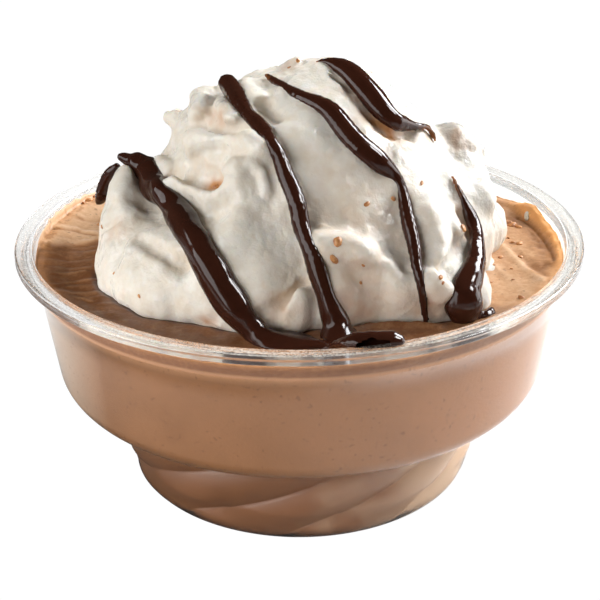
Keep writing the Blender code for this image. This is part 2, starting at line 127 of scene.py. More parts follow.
# %% [markdown]
# ## Writing finishes as Python
#
# A finish is a tree of nodes. Wiring it by hand hides the sums in it, so one small class wraps a
# node's output and gives it +, -, * and /. An expression such as `0.5 + 0.2 * mottle` then adds the
# Math nodes it needs. Everything else goes through one method, which takes a node's type, its
# settings and what goes into its sockets.

# %% The socket class
class Wire:
    """An output socket in a finish's node tree."""

    def __init__(self, tree, socket=None):
        self.tree = tree
        self.socket = socket

    def node(self, kind, settings=None, sockets=None, out=0):
        made = self.tree.nodes.new("ShaderNode" + kind)
        for name, value in (settings or {}).items():
            setattr(made, name, value)
        for name, value in (sockets or {}).items():
            if isinstance(value, Wire):
                self.tree.links.new(value.socket, made.inputs[name])
            else:
                made.inputs[name].default_value = value
        return Wire(self.tree, made.outputs[out])

    def sum(self, operation, first, second):
        return self.node("Math", {"operation": operation}, {0: first, 1: second})

    def __add__(self, other):
        return self.sum("ADD", self, other)

    def __radd__(self, other):
        return self.sum("ADD", other, self)

    def __sub__(self, other):
        return self.sum("SUBTRACT", self, other)

    def __rsub__(self, other):
        return self.sum("SUBTRACT", other, self)

    def __mul__(self, other):
        return self.sum("MULTIPLY", self, other)

    def __rmul__(self, other):
        return self.sum("MULTIPLY", other, self)

    def __truediv__(self, other):
        return self.sum("DIVIDE", self, other)

    def clipped(self):
        return self.node("Clamp", sockets={"Value": self})


print("socket class ready")

# %% [markdown]
# ## The nodes that every finish needs
#
# Each finish starts from the same few things: where a point is, noise of a known size, a value kept
# in the mesh's points, a ramp between two values, a mix of two colours and a bump. Each gets a short
# function that names its sockets once. Sizes go in as millimetres.

# %% A finish, and where its points are
def new_finish(name, **constants):
    """A Principled finish: its material, a Wire to build with, and the shader node."""
    material = bpy.data.materials.new(name)
    material.use_nodes = True
    shader = material.node_tree.nodes["Principled BSDF"]
    for socket, value in constants.items():
        shader.inputs[socket.replace("_", " ")].default_value = value
    return material, Wire(material.node_tree), shader


def feed(wire, shader, socket):
    wire.tree.links.new(wire.socket, shader.inputs[socket])


def place_in(wire):
    """Where a point is, in the object's own metres."""
    return wire.node("TexCoord", out="Object")


def axis_of(place, axis):
    """The X, Y or Z of a place."""
    return place.node("SeparateXYZ", {}, {0: place}, out=axis)


def length_of(place):
    return place.node("VectorMath", {"operation": "LENGTH"}, {0: place}, out="Value")


def kept_value(wire, name):
    """A value that was kept in the mesh's points."""
    return wire.node("Attribute", {"attribute_name": name}, out="Fac")


print("helpers for places ready")

# %% Noise, ramps, colours and bumps
def noise_at(place, size_mm, detail=3.0, roughness=0.5):
    """Noise whose lumps are about size_mm across."""
    scale = 1.0 / (size_mm * MM)
    sockets = {"Vector": place, "Scale": scale, "Detail": detail, "Roughness": roughness}
    return place.node("TexNoise", {}, sockets)


def ramp(value, low, high):
    """0 below low, 1 above high, straight between."""
    sockets = {"Value": value, "From Min": low, "From Max": high}
    return value.node("MapRange", {"clamp": True}, sockets)


def ramp_mm(value, low, high):
    """A ramp between two lengths in millimetres."""
    return ramp(value, low * MM, high * MM)


def blend(factor, first, second):
    """Mix two colours; each is a Wire or an (r, g, b) tuple."""
    a, b = [colour if isinstance(colour, Wire) else (*colour, 1.0) for colour in (first, second)]
    return factor.node("Mix", {"data_type": "RGBA"}, {0: factor, 6: a, 7: b}, out=2)


def bump(height, strength, depth_mm):
    sockets = {"Height": height, "Strength": strength, "Distance": depth_mm * MM}
    return height.node("Bump", {}, sockets)


print("helpers for colours ready")

# %% Mixing shaders
def mix_shaders(factor, first, second):
    return factor.node("MixShader", {}, {0: factor, 1: first, 2: second})


def glow(wire, kind, colour, strength):
    """An Emission or Background shader of one colour."""
    return wire.node(kind, {}, {"Color": (*colour, 1.0), "Strength": strength})


def show(shader, output="Material Output"):
    """Make a shader the surface that its tree gives."""
    shader.tree.links.new(shader.socket, shader.tree.nodes[output].inputs["Surface"])


def clear_rays(wire):
    """1 for rays that have passed through something clear, 0 for all others."""
    sharp = wire.node("LightPath", out="Is Singular Ray")
    through = wire.node("LightPath", out="Is Transmission Ray")
    return (sharp + through).clipped()


print("helpers for shaders ready")

# %% [markdown]
# ## Meshes from arrays
#
# The pieces are worked out as arrays of points in millimetres about the rim's centre. One function
# turns such an array into a shaded piece that rides on the model's one body.

# %% From points to a piece
def piece(name, points, faces, finish, slot, values=None):
    """A mesh piece from points in millimetres about the rim's centre, with values kept per point."""
    mesh = bpy.data.meshes.new(name)
    place = (np.asarray(points) + np.array([0.0, 0.0, CUP_HEIGHT])) * MM
    mesh.from_pydata(place.tolist(), [], [list(map(int, face)) for face in faces])
    mesh.update()
    mesh.shade_smooth()
    mesh.materials.append(finish)
    for key, numbers in (values or {}).items():
        layer = mesh.attributes.new(key, "FLOAT", "POINT")
        layer.data.foreach_set("value", np.asarray(numbers, np.float32))
    thing = add_object(name, mesh)
    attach(thing, "root")
    print(f"{name}: {len(mesh.vertices)} points, {len(mesh.polygons)} faces")
    return thing


def lathe(rings):
    """Points and quads between rings of equal length; the first and last ring are capped."""
    count = len(rings[0])
    points = np.concatenate(rings)
    faces = []
    for level in range(len(rings) - 1):
        low, high = level * count, (level + 1) * count
        for column in range(count):
            nxt = (column + 1) % count
            faces.append((low + column, low + nxt, high + nxt, high + column))
    faces.append(tuple(reversed(range(count))))
    faces.append(tuple(range((len(rings) - 1) * count, len(rings) * count)))
    return points, faces


print("mesh helpers ready")

# %% [markdown]
# ## The cup's outline
#
# A thermoformed cup is turned from one outline, apart from its foot, whose wall is pressed into
# twisted flutes. A Screw modifier could turn the outline, but the flutes change the radius from
# column to column, so each ring of points is worked out by a function. The creme fills the cup, so
# it uses the same function with a slightly smaller radius.

# %% Flutes
COLUMNS = 300
FLUTES = 10
FLUTE_DEPTH = 1.1
FLUTE_TWIST = 4.4
FLUTE_PHASE = 6.0
# The flutes start above the base and grow, and fade out over the foot's top.
FLUTE_START, FLUTE_GROWTH = 0.6, 3.0
FLUTE_END, FLUTE_FADE = 0.6, 1.2
FLUTE_SHARPNESS = 0.8
FLUTE_MIDDLE = 0.75
# Only rings wider than this and lower than this much above the foot are fluted.
FLUTED_RADIUS = 20
FLUTED_MARGIN = 0.5


def flute(angles, z):
    """How far the twisted flutes push the foot's wall out."""
    rise = min(max((z - FLUTE_START) / FLUTE_GROWTH, 0.0), 1.0)
    fall = min(max((FOOT_HEIGHT + FLUTE_END - z) / FLUTE_FADE, 0.0), 1.0)
    swell = np.abs(np.sin(math.pi * (angles - FLUTE_PHASE) * FLUTES / 360.0)) ** FLUTE_SHARPNESS
    return FLUTE_DEPTH * (swell - FLUTE_MIDDLE) * rise * fall


def ring(r, z, columns=COLUMNS):
    """One ring of points at radius r and height z above the base."""
    angles = 360.0 * np.arange(columns) / columns
    twist = FLUTE_TWIST * (min(z, FOOT_HEIGHT) - FOOT_HEIGHT)
    fluted = z < FOOT_HEIGHT + FLUTED_MARGIN and r > FLUTED_RADIUS
    radius = r + (flute(angles, z) if fluted else 0.0)
    turned = np.radians(angles + twist)
    height = np.full(columns, z - CUP_HEIGHT)
    return np.column_stack([radius * np.cos(turned), radius * np.sin(turned), height])


print("deepest flute, mm:", round(float(np.ptp(flute(np.arange(360.0), FOOT_HEIGHT / 2))), 2))

# %% Outline
FOOT_EDGE_ROUND = 2.2
FOOT_EDGE_MARGIN = 5.0
FOOT_EDGE_TOP = (0.35, 5.0)
FOOT_FLARE_HEIGHT = 12.0
FOOT_ROWS = np.arange(5.7, 15.6, 0.7)
# The bowl's floor is this share of the wall's thickness.
FLOOR_SHARE = 0.9


def rounded(corners, steps):
    """A polyline through corners (r, z, fillet), each fillet drawn as an arc."""
    points = []
    for index, (r, z, fillet) in enumerate(corners):
        here = Vector((r, z))
        if fillet == 0.0:
            points.append((r, z))
            continue
        back = (Vector(corners[index - 1][:2]) - here).normalized()
        ahead = (Vector(corners[index + 1][:2]) - here).normalized()
        half = back.angle(ahead) / 2
        reach = fillet / math.tan(half)
        centre = here + (back + ahead).normalized() * (fillet / math.sin(half))
        start = here + back * reach - centre
        turn = (here + ahead * reach - centre).angle_signed(start)
        for step in range(steps + 1):
            angle = turn * step / steps
            cos, sin = math.cos(angle), math.sin(angle)
            spoke = Vector((start.x * cos - start.y * sin, start.x * sin + start.y * cos))
            points.append(tuple(centre + spoke))
    return points


def foot_outline(inset):
    """The foot's wall, from the rounded edge of its base nearly up to the bowl, as (r, z)."""
    wall = BASE_RADIUS - inset
    out, up = FOOT_EDGE_TOP
    edge = rounded([(BASE_RADIUS - FOOT_EDGE_MARGIN, inset, 0.0),
                    (wall, inset, FOOT_EDGE_ROUND),
                    (wall + out, up, 0.0)], steps=8)
    flare = []
    for z in FOOT_ROWS:
        part = math.sin(math.pi / 2 * min(z / FOOT_FLARE_HEIGHT, 1.0))
        flare.append((wall + (FOOT_RADIUS - BASE_RADIUS) * part, float(z)))
    return edge[1:] + flare


def bowl_outline(inset):
    """The step over the foot, the bowl's rounded corner and its side."""
    corner_r, corner_z = BOWL_CORNER
    shoulder_r, shoulder_z = SHOULDER
    lift = inset * FLOOR_SHARE
    corners = [(FOOT_RADIUS - inset, FOOT_HEIGHT + lift, 0.0),
               (corner_r - inset, corner_z + lift, BOWL_CORNER_ROUND - inset),
               (shoulder_r - inset, shoulder_z, 0.0)]
    outline = rounded(corners, steps=12)
    last, top = Vector(outline[-2]), Vector(outline[-1])
    middle = [tuple(last.lerp(top, part)) for part in (0.25, 0.5, 0.75)]
    return outline[:-1] + middle + outline[-1:]


def inner_outline(inset):
    """The whole inside of the wall, from the base up to the mouth."""
    top = CUP_HEIGHT - MOUTH_ROUND
    low = top - (MOUTH_DEPTH - MOUTH_ROUND)
    mouth = MOUTH_RADIUS - (inset - WALL)
    return foot_outline(inset) + bowl_outline(inset) + [(mouth - MOUTH_TAPER, low), (mouth, top)]


print("foot outline has", len(foot_outline(0.0)), "points, bowl", len(bowl_outline(0.0)))

# %% [markdown]
# ## The clear cup
#
# The wall is real clear plastic: light bends in it, and the rim's flange shows bright and dark
# lines. On a real cup those come from a pressed, faintly ribbed surface. Clear plastic alone would
# stay too clean, so a layer of frost is mixed in on the flange, in streaks that follow the rim. The
# frost's light and dark streaks are painted reflections of those lines, and the frost is painted
# lighter on the left, where light falls on the flange. Near the top on the right the plastic is
# painted with shade. Shadow rays pass straight through, so the lamps light the creme inside.

# %% Clear plastic
CLEAR = (0.985, 0.985, 0.98)
CLEAR_SHADED = (0.86, 0.87, 0.855)
STREAK_DARK = (0.52, 0.46, 0.39)
STREAK_LIGHT = (0.88, 0.85, 0.78)
STREAK_SUNLIT = (0.95, 0.94, 0.91)
SHADOW_TINT = (0.97, 0.965, 0.96)


def frosted_flange(place, radius):
    """Where the top of the flange is frosted, and its colour of painted reflections and light."""
    x, y, z = [axis_of(place, axis) for axis in "XYZ"]
    turn = place.node("Math", {"operation": "ARCTAN2"}, {0: x, 1: 0.0 - y})
    ribs = {0: radius / (0.35 * MM), 1: turn * 5.0, 2: z / (0.5 * MM)}
    along = place.node("CombineXYZ", {}, ribs)
    grain = {"Vector": along, "Scale": 1.0, "Detail": 4.0, "Roughness": 0.7}
    streak = place.node("TexNoise", {}, grain)
    speckle = noise_at(place, 0.45, 2.0, 0.7)
    flange = ramp_mm(z, CUP_HEIGHT - 0.5, CUP_HEIGHT - 0.1)
    flange = flange * ramp_mm(radius, MOUTH_RADIUS + 0.15, MOUTH_RADIUS + 0.45)
    flange = flange * ramp_mm(radius, RIM_RADIUS - 0.3, RIM_RADIUS - 0.6)
    cloud = 0.30 + 1.2 * (streak - 0.42) + 1.3 * (speckle - 0.5)
    # Painted reflections: the frost's light and dark streaks. Painted light: lighter on the left.
    lines = blend(ramp(streak, 0.35, 0.6), STREAK_DARK, STREAK_LIGHT)
    lines = blend(0.6 * ramp_mm(x, -30.0, -44.0), lines, STREAK_SUNLIT)
    return flange * cloud.clipped(), lines


def clear_plastic():
    material, wire, shader = new_finish("clear plastic", IOR=1.49, Transmission_Weight=1.0)
    place = place_in(wire)
    x, y, z = [axis_of(place, axis) for axis in "XYZ"]
    radius = length_of(wire.node("CombineXYZ", {}, {0: x, 1: y}))
    ripple = noise_at(place, 7.0, 2.0)
    upper = ramp_mm(z, CUP_HEIGHT - 4.0, CUP_HEIGHT - 1.5)
    uneven = ripple + 0.35 * upper * noise_at(place, 1.3, 2.0)
    feed(bump(uneven, 0.25, 0.25), shader, "Normal")
    shaded = ramp_mm(z, CUP_HEIGHT - 5.0, CUP_HEIGHT - 3.5) * ramp_mm(x, 5.0, 30.0)
    feed(blend(shaded, CLEAR, CLEAR_SHADED), shader, "Base Color")
    satin = ramp_mm(z, FOOT_HEIGHT + 1.5, FOOT_HEIGHT - 0.5)
    lip = ramp_mm(radius, RIM_RADIUS - 0.8, RIM_RADIUS - 0.4)
    feed(0.36 * satin + 0.22 * lip, shader, "Roughness")
    frosted, lines = frosted_flange(place, radius)
    frost = wire.node("BsdfPrincipled", {}, {"Base Color": lines, "Roughness": 0.35, "IOR": 1.45})
    clear = mix_shaders(frosted, Wire(wire.tree, shader.outputs[0]), frost)
    through = wire.node("BsdfTransparent", {}, {"Color": (*SHADOW_TINT, 1.0)})
    show(mix_shaders(wire.node("LightPath", out="Is Shadow Ray"), clear, through))
    return material


cup_finish = clear_plastic()
print(cup_finish.name, "has", len(cup_finish.node_tree.nodes), "nodes")

# %% [markdown]
# ## The cup's wall
#
# The outline goes up the outside, over the bead and the flange, and back down the inside. Each
# corner of the flange has a small round, because that is where a clear rim catches the light.

# %% The cup
def build_cup():
    under = CUP_HEIGHT - RIM_LIP
    shoulder_r, shoulder_z = SHOULDER
    rim = rounded([(MOUTH_RADIUS + 0.75, under, 0.0),
                   (RIM_RADIUS, under, 0.35),
                   (RIM_RADIUS, CUP_HEIGHT, 0.45),
                   (MOUTH_RADIUS, CUP_HEIGHT, MOUTH_ROUND),
                   (MOUTH_RADIUS - MOUTH_TAPER, CUP_HEIGHT - MOUTH_DEPTH, 0.0)], steps=5)
    bead = [(shoulder_r + 0.3, shoulder_z + 0.1),
            (shoulder_r + SHOULDER_BEAD, shoulder_z + 0.35),
            (shoulder_r + SHOULDER_BEAD, shoulder_z + 0.9),
            (shoulder_r + 0.35, shoulder_z + 1.4),
            (shoulder_r + 0.5, shoulder_z + 2.6)]
    outer = foot_outline(0.0) + bowl_outline(0.0) + bead + rim[:-1]
    inner = inner_outline(WALL)[:-1]
    rings = [ring(r, z) for r, z in outer + inner[::-1]]
    cup = piece("cup_wall", *lathe(rings), cup_finish, "clear_plastic")
    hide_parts("cup")
    return cup


cup = build_cup()

# %% [markdown]
# ## Sums on many points at once
#
# The creme's surface, the cream and the drizzles are all worked out on arrays of points. These
# helpers give soft steps, smooth random values and smooth unions of simple forms. A distance here
# is how far a point lies outside a form, and it is below 0 inside.

# %% Soft steps and lumps
LUMP_TABLE = 32


def eased(values, low, high):
    """0 below low, 1 above high, with a soft start and end."""
    part = np.clip((values - low) / (high - low), 0.0, 1.0)
    return part * part * (3 - 2 * part)


def bell(values, width, middle=0.0):
    """1 at the middle, falling softly to 0 on both sides."""
    return np.exp(-(((values - middle) / width) ** 2))


def lumps(points, size, seed):
    """Smooth random values from -1 to 1 in lumps about size millimetres across."""
    table = np.random.default_rng(seed).uniform(-1.0, 1.0, (LUMP_TABLE,) * 3)
    turn = np.array(Matrix.Rotation(0.7 + seed, 3, Vector((1.0, 2.0, 3.0))))
    scaled = points @ turn / size
    cell = np.floor(scaled).astype(int)
    part = scaled - cell
    part = part * part * (3 - 2 * part)
    total = np.zeros(len(points))
    for corner in np.ndindex(2, 2, 2):
        weight = np.prod(np.where(corner, part, 1 - part), axis=1)
        total += weight * table[tuple(((cell + corner) % LUMP_TABLE).T)]
    return total


print("lumps run from", *np.round(np.sort(lumps(np.eye(3) * 9.0, 2.0, 1))[[0, -1]], 2))

# %% Blended forms
def join(a, b, softness):
    """Smooth union of two distances."""
    mix = np.clip(0.5 + 0.5 * (b - a) / softness, 0, 1)
    return b * (1 - mix) + a * mix - softness * mix * (1 - mix)


def ellipsoid(points, dollop):
    """Distance to an ellipsoid given as centre, half sizes and turn, near enough for blending."""
    x, y, z, rx, ry, rz, turn = dollop
    cos, sin = math.cos(math.radians(turn)), math.sin(math.radians(turn))
    offset = points - np.array([x, y, z])
    along = offset[:, 0] * cos + offset[:, 1] * sin
    across = offset[:, 1] * cos - offset[:, 0] * sin
    up = offset[:, 2]
    size = np.sqrt((along / rx) ** 2 + (across / ry) ** 2 + (up / rz) ** 2) + 1e-9
    slope = np.sqrt((along / rx**2) ** 2 + (across / ry**2) ** 2 + (up / rz**2) ** 2) + 1e-9
    return size * (size - 1) / slope


def capsule(points, start, end, start_radius, end_radius):
    """Distance to a rod with round ends, which may taper."""
    start, run = np.array(start), np.array(end) - np.array(start)
    along = np.clip((points - start) @ run / (run @ run), 0, 1)
    reach = np.linalg.norm(points - (start + along[:, None] * run), axis=1)
    return reach - (start_radius + (end_radius - start_radius) * along)


def chain(points, path, start_radius, end_radius):
    """Distance to rods end to end through the points of a path, with an even taper."""
    radii = np.linspace(start_radius, end_radius, len(path))
    rods = zip(path, path[1:], radii, radii[1:])
    return np.min([capsule(points, *rod) for rod in rods], axis=0)


rod = capsule(np.zeros((1, 3)), (3.0, 0.0, 0.0), (3.0, 4.0, 0.0), 1.0, 1.0)
print("from the centre to a test rod:", round(float(rod[0]), 1), "mm")

# %% [markdown]
# ## From a distance to a mesh
#
# Metaballs or a Remesh modifier could give a skin over such forms, but both blur the thin curls.
# Here the distance is worked out on a grid, and one point is put into every cell that the surface
# crosses, at the mean of its crossings. Cells far from the surface are skipped, which saves most
# of the time.

# %% A grid of distances
# Blocks of this many cells a side are skipped or worked out together.
BLOCK = 8
BLOCKS_AT_ONCE = 500
# A block is near when its middle is within this many of its lengths from the surface.
NEAR_BLOCK = 1.2


def sample(distance, box, step):
    """A grid of distances; only the blocks near the surface are worked out exactly."""
    low, high = np.array(box, float)
    count = (np.ceil((high - low) / (step * BLOCK)).astype(int)) * BLOCK
    blocks = np.stack(np.meshgrid(*[np.arange(n // BLOCK) for n in count], indexing="ij"), -1)
    blocks = blocks.reshape(-1, 3)
    middle = distance(low + (blocks * BLOCK + (BLOCK - 1) / 2) * step)
    grid = np.empty(count, np.float32)
    cells = np.stack(np.meshgrid(*[np.arange(BLOCK)] * 3, indexing="ij"), -1).reshape(-1, 3)
    for corner, value in zip(blocks * BLOCK, middle):
        a, b, c = corner
        grid[a:a + BLOCK, b:b + BLOCK, c:c + BLOCK] = value
    near = blocks[np.abs(middle) < BLOCK * step * NEAR_BLOCK] * BLOCK
    for start in range(0, len(near), BLOCKS_AT_ONCE):
        group = near[start:start + BLOCKS_AT_ONCE]
        places = (group[:, None, :] + cells).reshape(-1, 3)
        grid[tuple(places.T)] = distance(low + places * step)
    return grid, low


def ball(points):
    """Distance to a ball of radius 3, to try the helpers on."""
    return ellipsoid(points, (0.0, 0.0, 0.0, 3.0, 3.0, 3.0, 0.0))


BALL_BOX = ((-4.0, -4.0, -4.0), (4.0, 4.0, 4.0))
print("grid of a test ball:", sample(ball, BALL_BOX, 0.5)[0].shape)

# %% Points of the net
def net_points(grid, inside, low, step):
    """One point in each cell that the zero crosses, and a grid of the points' numbers."""
    size = np.array(grid.shape) - 1
    corners = np.array(list(np.ndindex(2, 2, 2)))
    filled = sum(inside[a:a + size[0], b:b + size[1], c:c + size[2]].astype(int)
                 for a, b, c in corners)
    cells = np.argwhere((filled > 0) & (filled < 8))
    index = np.full(size, -1)
    index[tuple(cells.T)] = np.arange(len(cells))
    values = np.stack([grid[tuple((cells + corner).T)] for corner in corners], 1)
    total, count = np.zeros((len(cells), 3)), np.zeros(len(cells))
    for i in range(8):
        for j in range(i + 1, 8):
            if np.abs(corners[i] - corners[j]).sum() != 1:
                continue
            crossed = (values[:, i] < 0) != (values[:, j] < 0)
            part = values[crossed, i] / (values[crossed, i] - values[crossed, j])
            total[crossed] += corners[i] + part[:, None] * (corners[j] - corners[i])
            count[crossed] += 1
    return low + step * (cells + total / count[:, None]), index


ball_grid, ball_low = sample(ball, BALL_BOX, 0.5)
ball_points, _ = net_points(ball_grid, ball_grid < 0, ball_low, 0.5)
print("its net has", len(ball_points), "points")

# %% Quads of the net, and normals
def net_faces(inside, index, axis):
    """A quad round each edge along one axis that goes from inside to outside."""
    size = np.array(index.shape)
    ahead = np.eye(3, dtype=int)[axis]
    first = inside[tuple(slice(0, n + 1 - o) for n, o in zip(size, ahead))]
    second = inside[tuple(slice(o, n + 1) for n, o in zip(size, ahead))]
    edges = np.argwhere(first != second)
    u, v = [other for other in range(3) if other != axis]
    edges = edges[(edges[:, u] > 0) & (edges[:, v] > 0)
                  & (edges[:, u] < size[u]) & (edges[:, v] < size[v])]
    quad = []
    for du, dv in ((1, 1), (0, 1), (0, 0), (1, 0)):
        cell = edges.copy()
        cell[:, u] -= du
        cell[:, v] -= dv
        quad.append(index[tuple(cell.T)])
    quad = np.stack(quad, 1)
    turn = first[tuple(edges.T)] if axis != 1 else ~first[tuple(edges.T)]
    return np.where(turn[:, None], quad, quad[:, ::-1])


def surface_net(distance, box, step):
    """Points and quads over the zero of a distance, inside a box."""
    grid, low = sample(distance, box, step)
    inside = grid < 0
    points, index = net_points(grid, inside, low, step)
    return points, np.concatenate([net_faces(inside, index, axis) for axis in range(3)])


def slope_of(distance, points, step=0.05):
    """Outward unit normals of a distance's surface."""
    slope = np.empty((len(points), 3))
    for axis in range(3):
        shift = np.eye(3)[axis] * step
        slope[:, axis] = distance(points + shift) - distance(points - shift)
    return slope / (np.linalg.norm(slope, axis=1)[:, None] + 1e-12)


print("and", len(surface_net(ball, BALL_BOX, 0.5)[1]), "quads")

# %% [markdown]
# ## The set creme
#
# The creme fills the cup right up to its wall. Its top is nearly level. A spoon's drag lines cross
# it on the left, a crease runs over it on the right, a torn ridge stands in front of the cream, and
# a border climbs the wall. Each mark is a soft stroke: the distance to its path gives the height,
# and the same stroke also tells the finish how pale the creme is there. That paleness is mostly
# painted light and shade: crests paler, grooves, hollows and gaps darker. The top is also painted
# pale where the lamp falls on it: on the left past the cream's shadow, and on the right. The
# finish reads these values from the mesh's points.

# %% Marks on the creme's top
# What it is, half width, height, paleness (below 0 is dark), and the (x, y) points it runs through.
# The paleness is mostly painted light and shade: crests painted paler, and grooves, hollows and
# gaps painted darker.
MARKS = [
    ("drag line", 0.4, 0.16, 0.25, [(-45.3, 15.4), (-41.2, 14.2)]),
    ("groove beside it", 0.35, -0.14, -0.25, [(-45.2, 14.4), (-41.0, 13.2)]),
    ("drag line", 0.4, 0.2, 0.3, [(-46.0, 8.0), (-43.8, 8.5), (-41.4, 9.2), (-37.5, 8.0)]),
    ("groove beside it", 0.35, -0.2, -0.4, [(-46.0, 7.0), (-43.8, 7.4), (-41.4, 8.1),
    (-37.5, 6.9)]),
    ("drag line in the shade", 0.3, 0.25, 0.35, [(-42.6, -11.0), (-40.3, -10.2), (-37.3, -8.6)]),
    ("drag line in the shade", 0.3, 0.25, 0.35, [(-41.2, -15.8), (-39.1, -13.6), (-36.0, -12.3),
    (-34.8, -11.6)]),
    ("drag line in the shade", 0.3, 0.2, 0.3, [(-37.0, -20.0), (-35.7, -20.1), (-34.3, -21.0)]),
    # Two patches that are darker and a little lower.
    ("dark sunken patch", 1.0, -0.12, -0.5, [(-44.0, -8.0), (-42.5, -12.5), (-40.5, -16.0)]),
    ("dark sunken patch", 0.9, -0.1, -0.4, [(-38.6, -13.0), (-36.8, -10.8)]),
    ("reddish dark patch", 1.4, -0.1, -0.35, [(-27.5, -25.5), (-25.8, -26.4)]),
    ("groove in front", 0.9, -0.1, -0.5, [(-24.5, -24.5), (-20.0, -28.5), (-15.0, -33.5)]),
    ("crest of the crease", 0.9, 0.28, 0.25, [(36.4, 2.5), (37.6, -2.6), (39.4, -10.2),
    (41.0, -15.8)]),
    ("valley of the crease", 0.8, -0.16, -0.2, [(38.8, -1.4), (40.7, -9.0), (42.2, -14.4)]),
    ("second crease", 0.8, 0.16, 0.12, [(33.5, -6.0), (35.2, -12.0), (37.0, -17.0), (38.0, -21.5)]),
    ("hollow before the border", 1.7, -0.25, -0.32,
     [(37.4, 20.4), (40.0, 16.0), (41.9, 11.0), (43.1, 6.0), (43.7, 1.5), (43.8, -4.0),
      (43.0, -9.0)]),
    ("dark line under the border", 0.32, -0.3, -0.6,
     [(41.4, 14.0), (42.8, 12.4), (43.4, 10.2), (44.3, 5.3), (44.7, 1.5), (44.9, -3.1),
      (44.5, -7.5)]),
    ("torn ridge in front", 0.8, 0.7, 0.1,
     [(7.9, -32.4), (9.6, -31.8), (10.6, -30.6), (12.8, -30.5), (15.1, -30.4), (17.0, -30.8),
      (19.0, -30.7), (22.2, -31.6)]),
    ("shade in front", 5.0, 0.0, -0.12, [(-30.0, -28.0), (-20.0, -35.0), (-8.0, -39.0)]),
    ("gap behind it", 0.6, -0.3, -0.8, [(9.0, -30.6), (11.0, -29.2), (15.1, -29.2), (19.5, -29.4)]),
    ("soft swell", 2.2, 0.4, 0.0, [(-33.5, -31.0), (-27.0, -35.5)]),
    ("soft swell", 2.0, 0.35, 0.1, [(27.5, -32.0), (33.0, -27.5)]),
]


def stroke(points, half_width, path):
    """1 on the path through (x, y) points, falling softly to 0."""
    flat = np.column_stack([points[:, :2], np.zeros(len(points))])
    reach = chain(flat, [(x, y, 0.0) for x, y in path], 0.0, 0.0)
    return bell(reach, half_width)


print(len(MARKS), "marks on the creme")

# %% Height, paleness and warmth of the top
def creme_edge(flat, radius, angle):
    """How far the creme climbs the wall, and how much of the torn border is there."""
    border = eased(angle, -24.0, 4.0) * eased(-angle, -36.0, -18.0)
    far = eased(angle, 18.0, 32.0) * eased(-angle, -120.0, -90.0)
    climb = eased(radius, 40.5, 45.5) * (1 - 0.6 * border - 0.8 * far)
    ragged = 1.0 + 0.25 * lumps(flat, 1.2, 20)
    crest = bell(angle, 4.5, 17.0) + 0.6 * bell(angle, 6.0, -9.0)
    climb = climb + border * eased(radius, 44.3, 46.3) * (0.9 * ragged + 0.55 * crest)
    sweep = 1.0 + 0.2 * np.sin(np.radians(3 * angle))
    return CREME_EDGE_RISE * climb * sweep, border


def creme_top(points):
    """Height, paleness and warmth of the creme's surface for (x, y) points."""
    x, y = points[:, 0], points[:, 1]
    radius = np.hypot(x, y)
    angle = np.degrees(np.arctan2(y, x))
    flat = np.column_stack([x, y, np.zeros(len(points))])
    rise, border = creme_edge(flat, radius, angle)
    rough = 0.14 * lumps(flat, 4.0, 11) + 0.07 * lumps(flat, 1.6, 12) + 0.05 * lumps(flat, 0.8, 13)
    dragged = np.column_stack([x / 7.0, y - 0.15 * x, flat[:, 2]])
    left = eased(-x, 26.0, 32.0)
    drag = left * lumps(dragged, 0.9, 14)
    # Painted light past this low step on the left, where the lamp falls beyond the cream's shadow.
    step = left * eased(y - 0.6 * (x + 42.0) - 1.5 - 0.5 * lumps(flat, 3.0, 15), -0.7, 0.7)
    height = -CREME_LEVEL + rise + rough + 0.1 * drag + 0.35 * step
    # Painted light: the top is paler on the right, where the lamp falls.
    right = eased(x, 27.0, 33.0) * eased(y + 0.2 * x, -22.0, -16.0)
    pale = 0.1 + 0.62 * step + 0.12 * left * step * eased(y, 12.0, 20.0)
    pale = pale + 0.14 * drag * left + 0.5 * right
    pale = pale + 0.08 * lumps(flat, 2.5, 16) + 0.05 * lumps(flat, 0.7, 17)
    uneven = 1.0 + 0.5 * lumps(flat, 1.1, 18)
    for _, half_width, lift, paleness, path in MARKS:
        here = stroke(points, half_width, path) * uneven
        height = height + lift * here
        pale = pale + paleness * here
    speck = eased(radius, 44.4, 45.2) * eased(lumps(flat, 0.8, 19), 0.1, 0.35) * (1 - border)
    pale = pale - 0.45 * speck
    torn = eased(radius + 0.4 * lumps(flat, 1.0, 21), 43.7, 44.7)
    warm = border * torn + 0.25 * eased(radius, 43.5, 46.0) * (1 - border)
    return height, np.clip(pale, 0.0, 1.0), np.clip(warm, 0.0, 1.0)


middle = creme_top(np.array([[0.0, 0.0]]))
print("height, paleness and warmth in the middle:", [round(float(value[0]), 2) for value in middle])

# %% [markdown]
# ## The creme's finish
#
# Seen through the wall the creme is a milk brown with small dark specks, with painted light and
# shade: painted shade on the left and in the foot, under the bowl, painted light on the right and
# under the rim, and a painted sheen at both edges. Its open top runs from a dark brown of painted
# shade to a pale tan of painted light, where the lamp falls past the cream's shadow. The border
# that climbs the wall is orange, painted brighter towards its top, where light shines through it.
# On the left, where the creme meets the cream, the creme is painted nearly black with shade. A
# picture could be laid on the creme, but colours that follow height and the kept values stay with
# the form from every side.

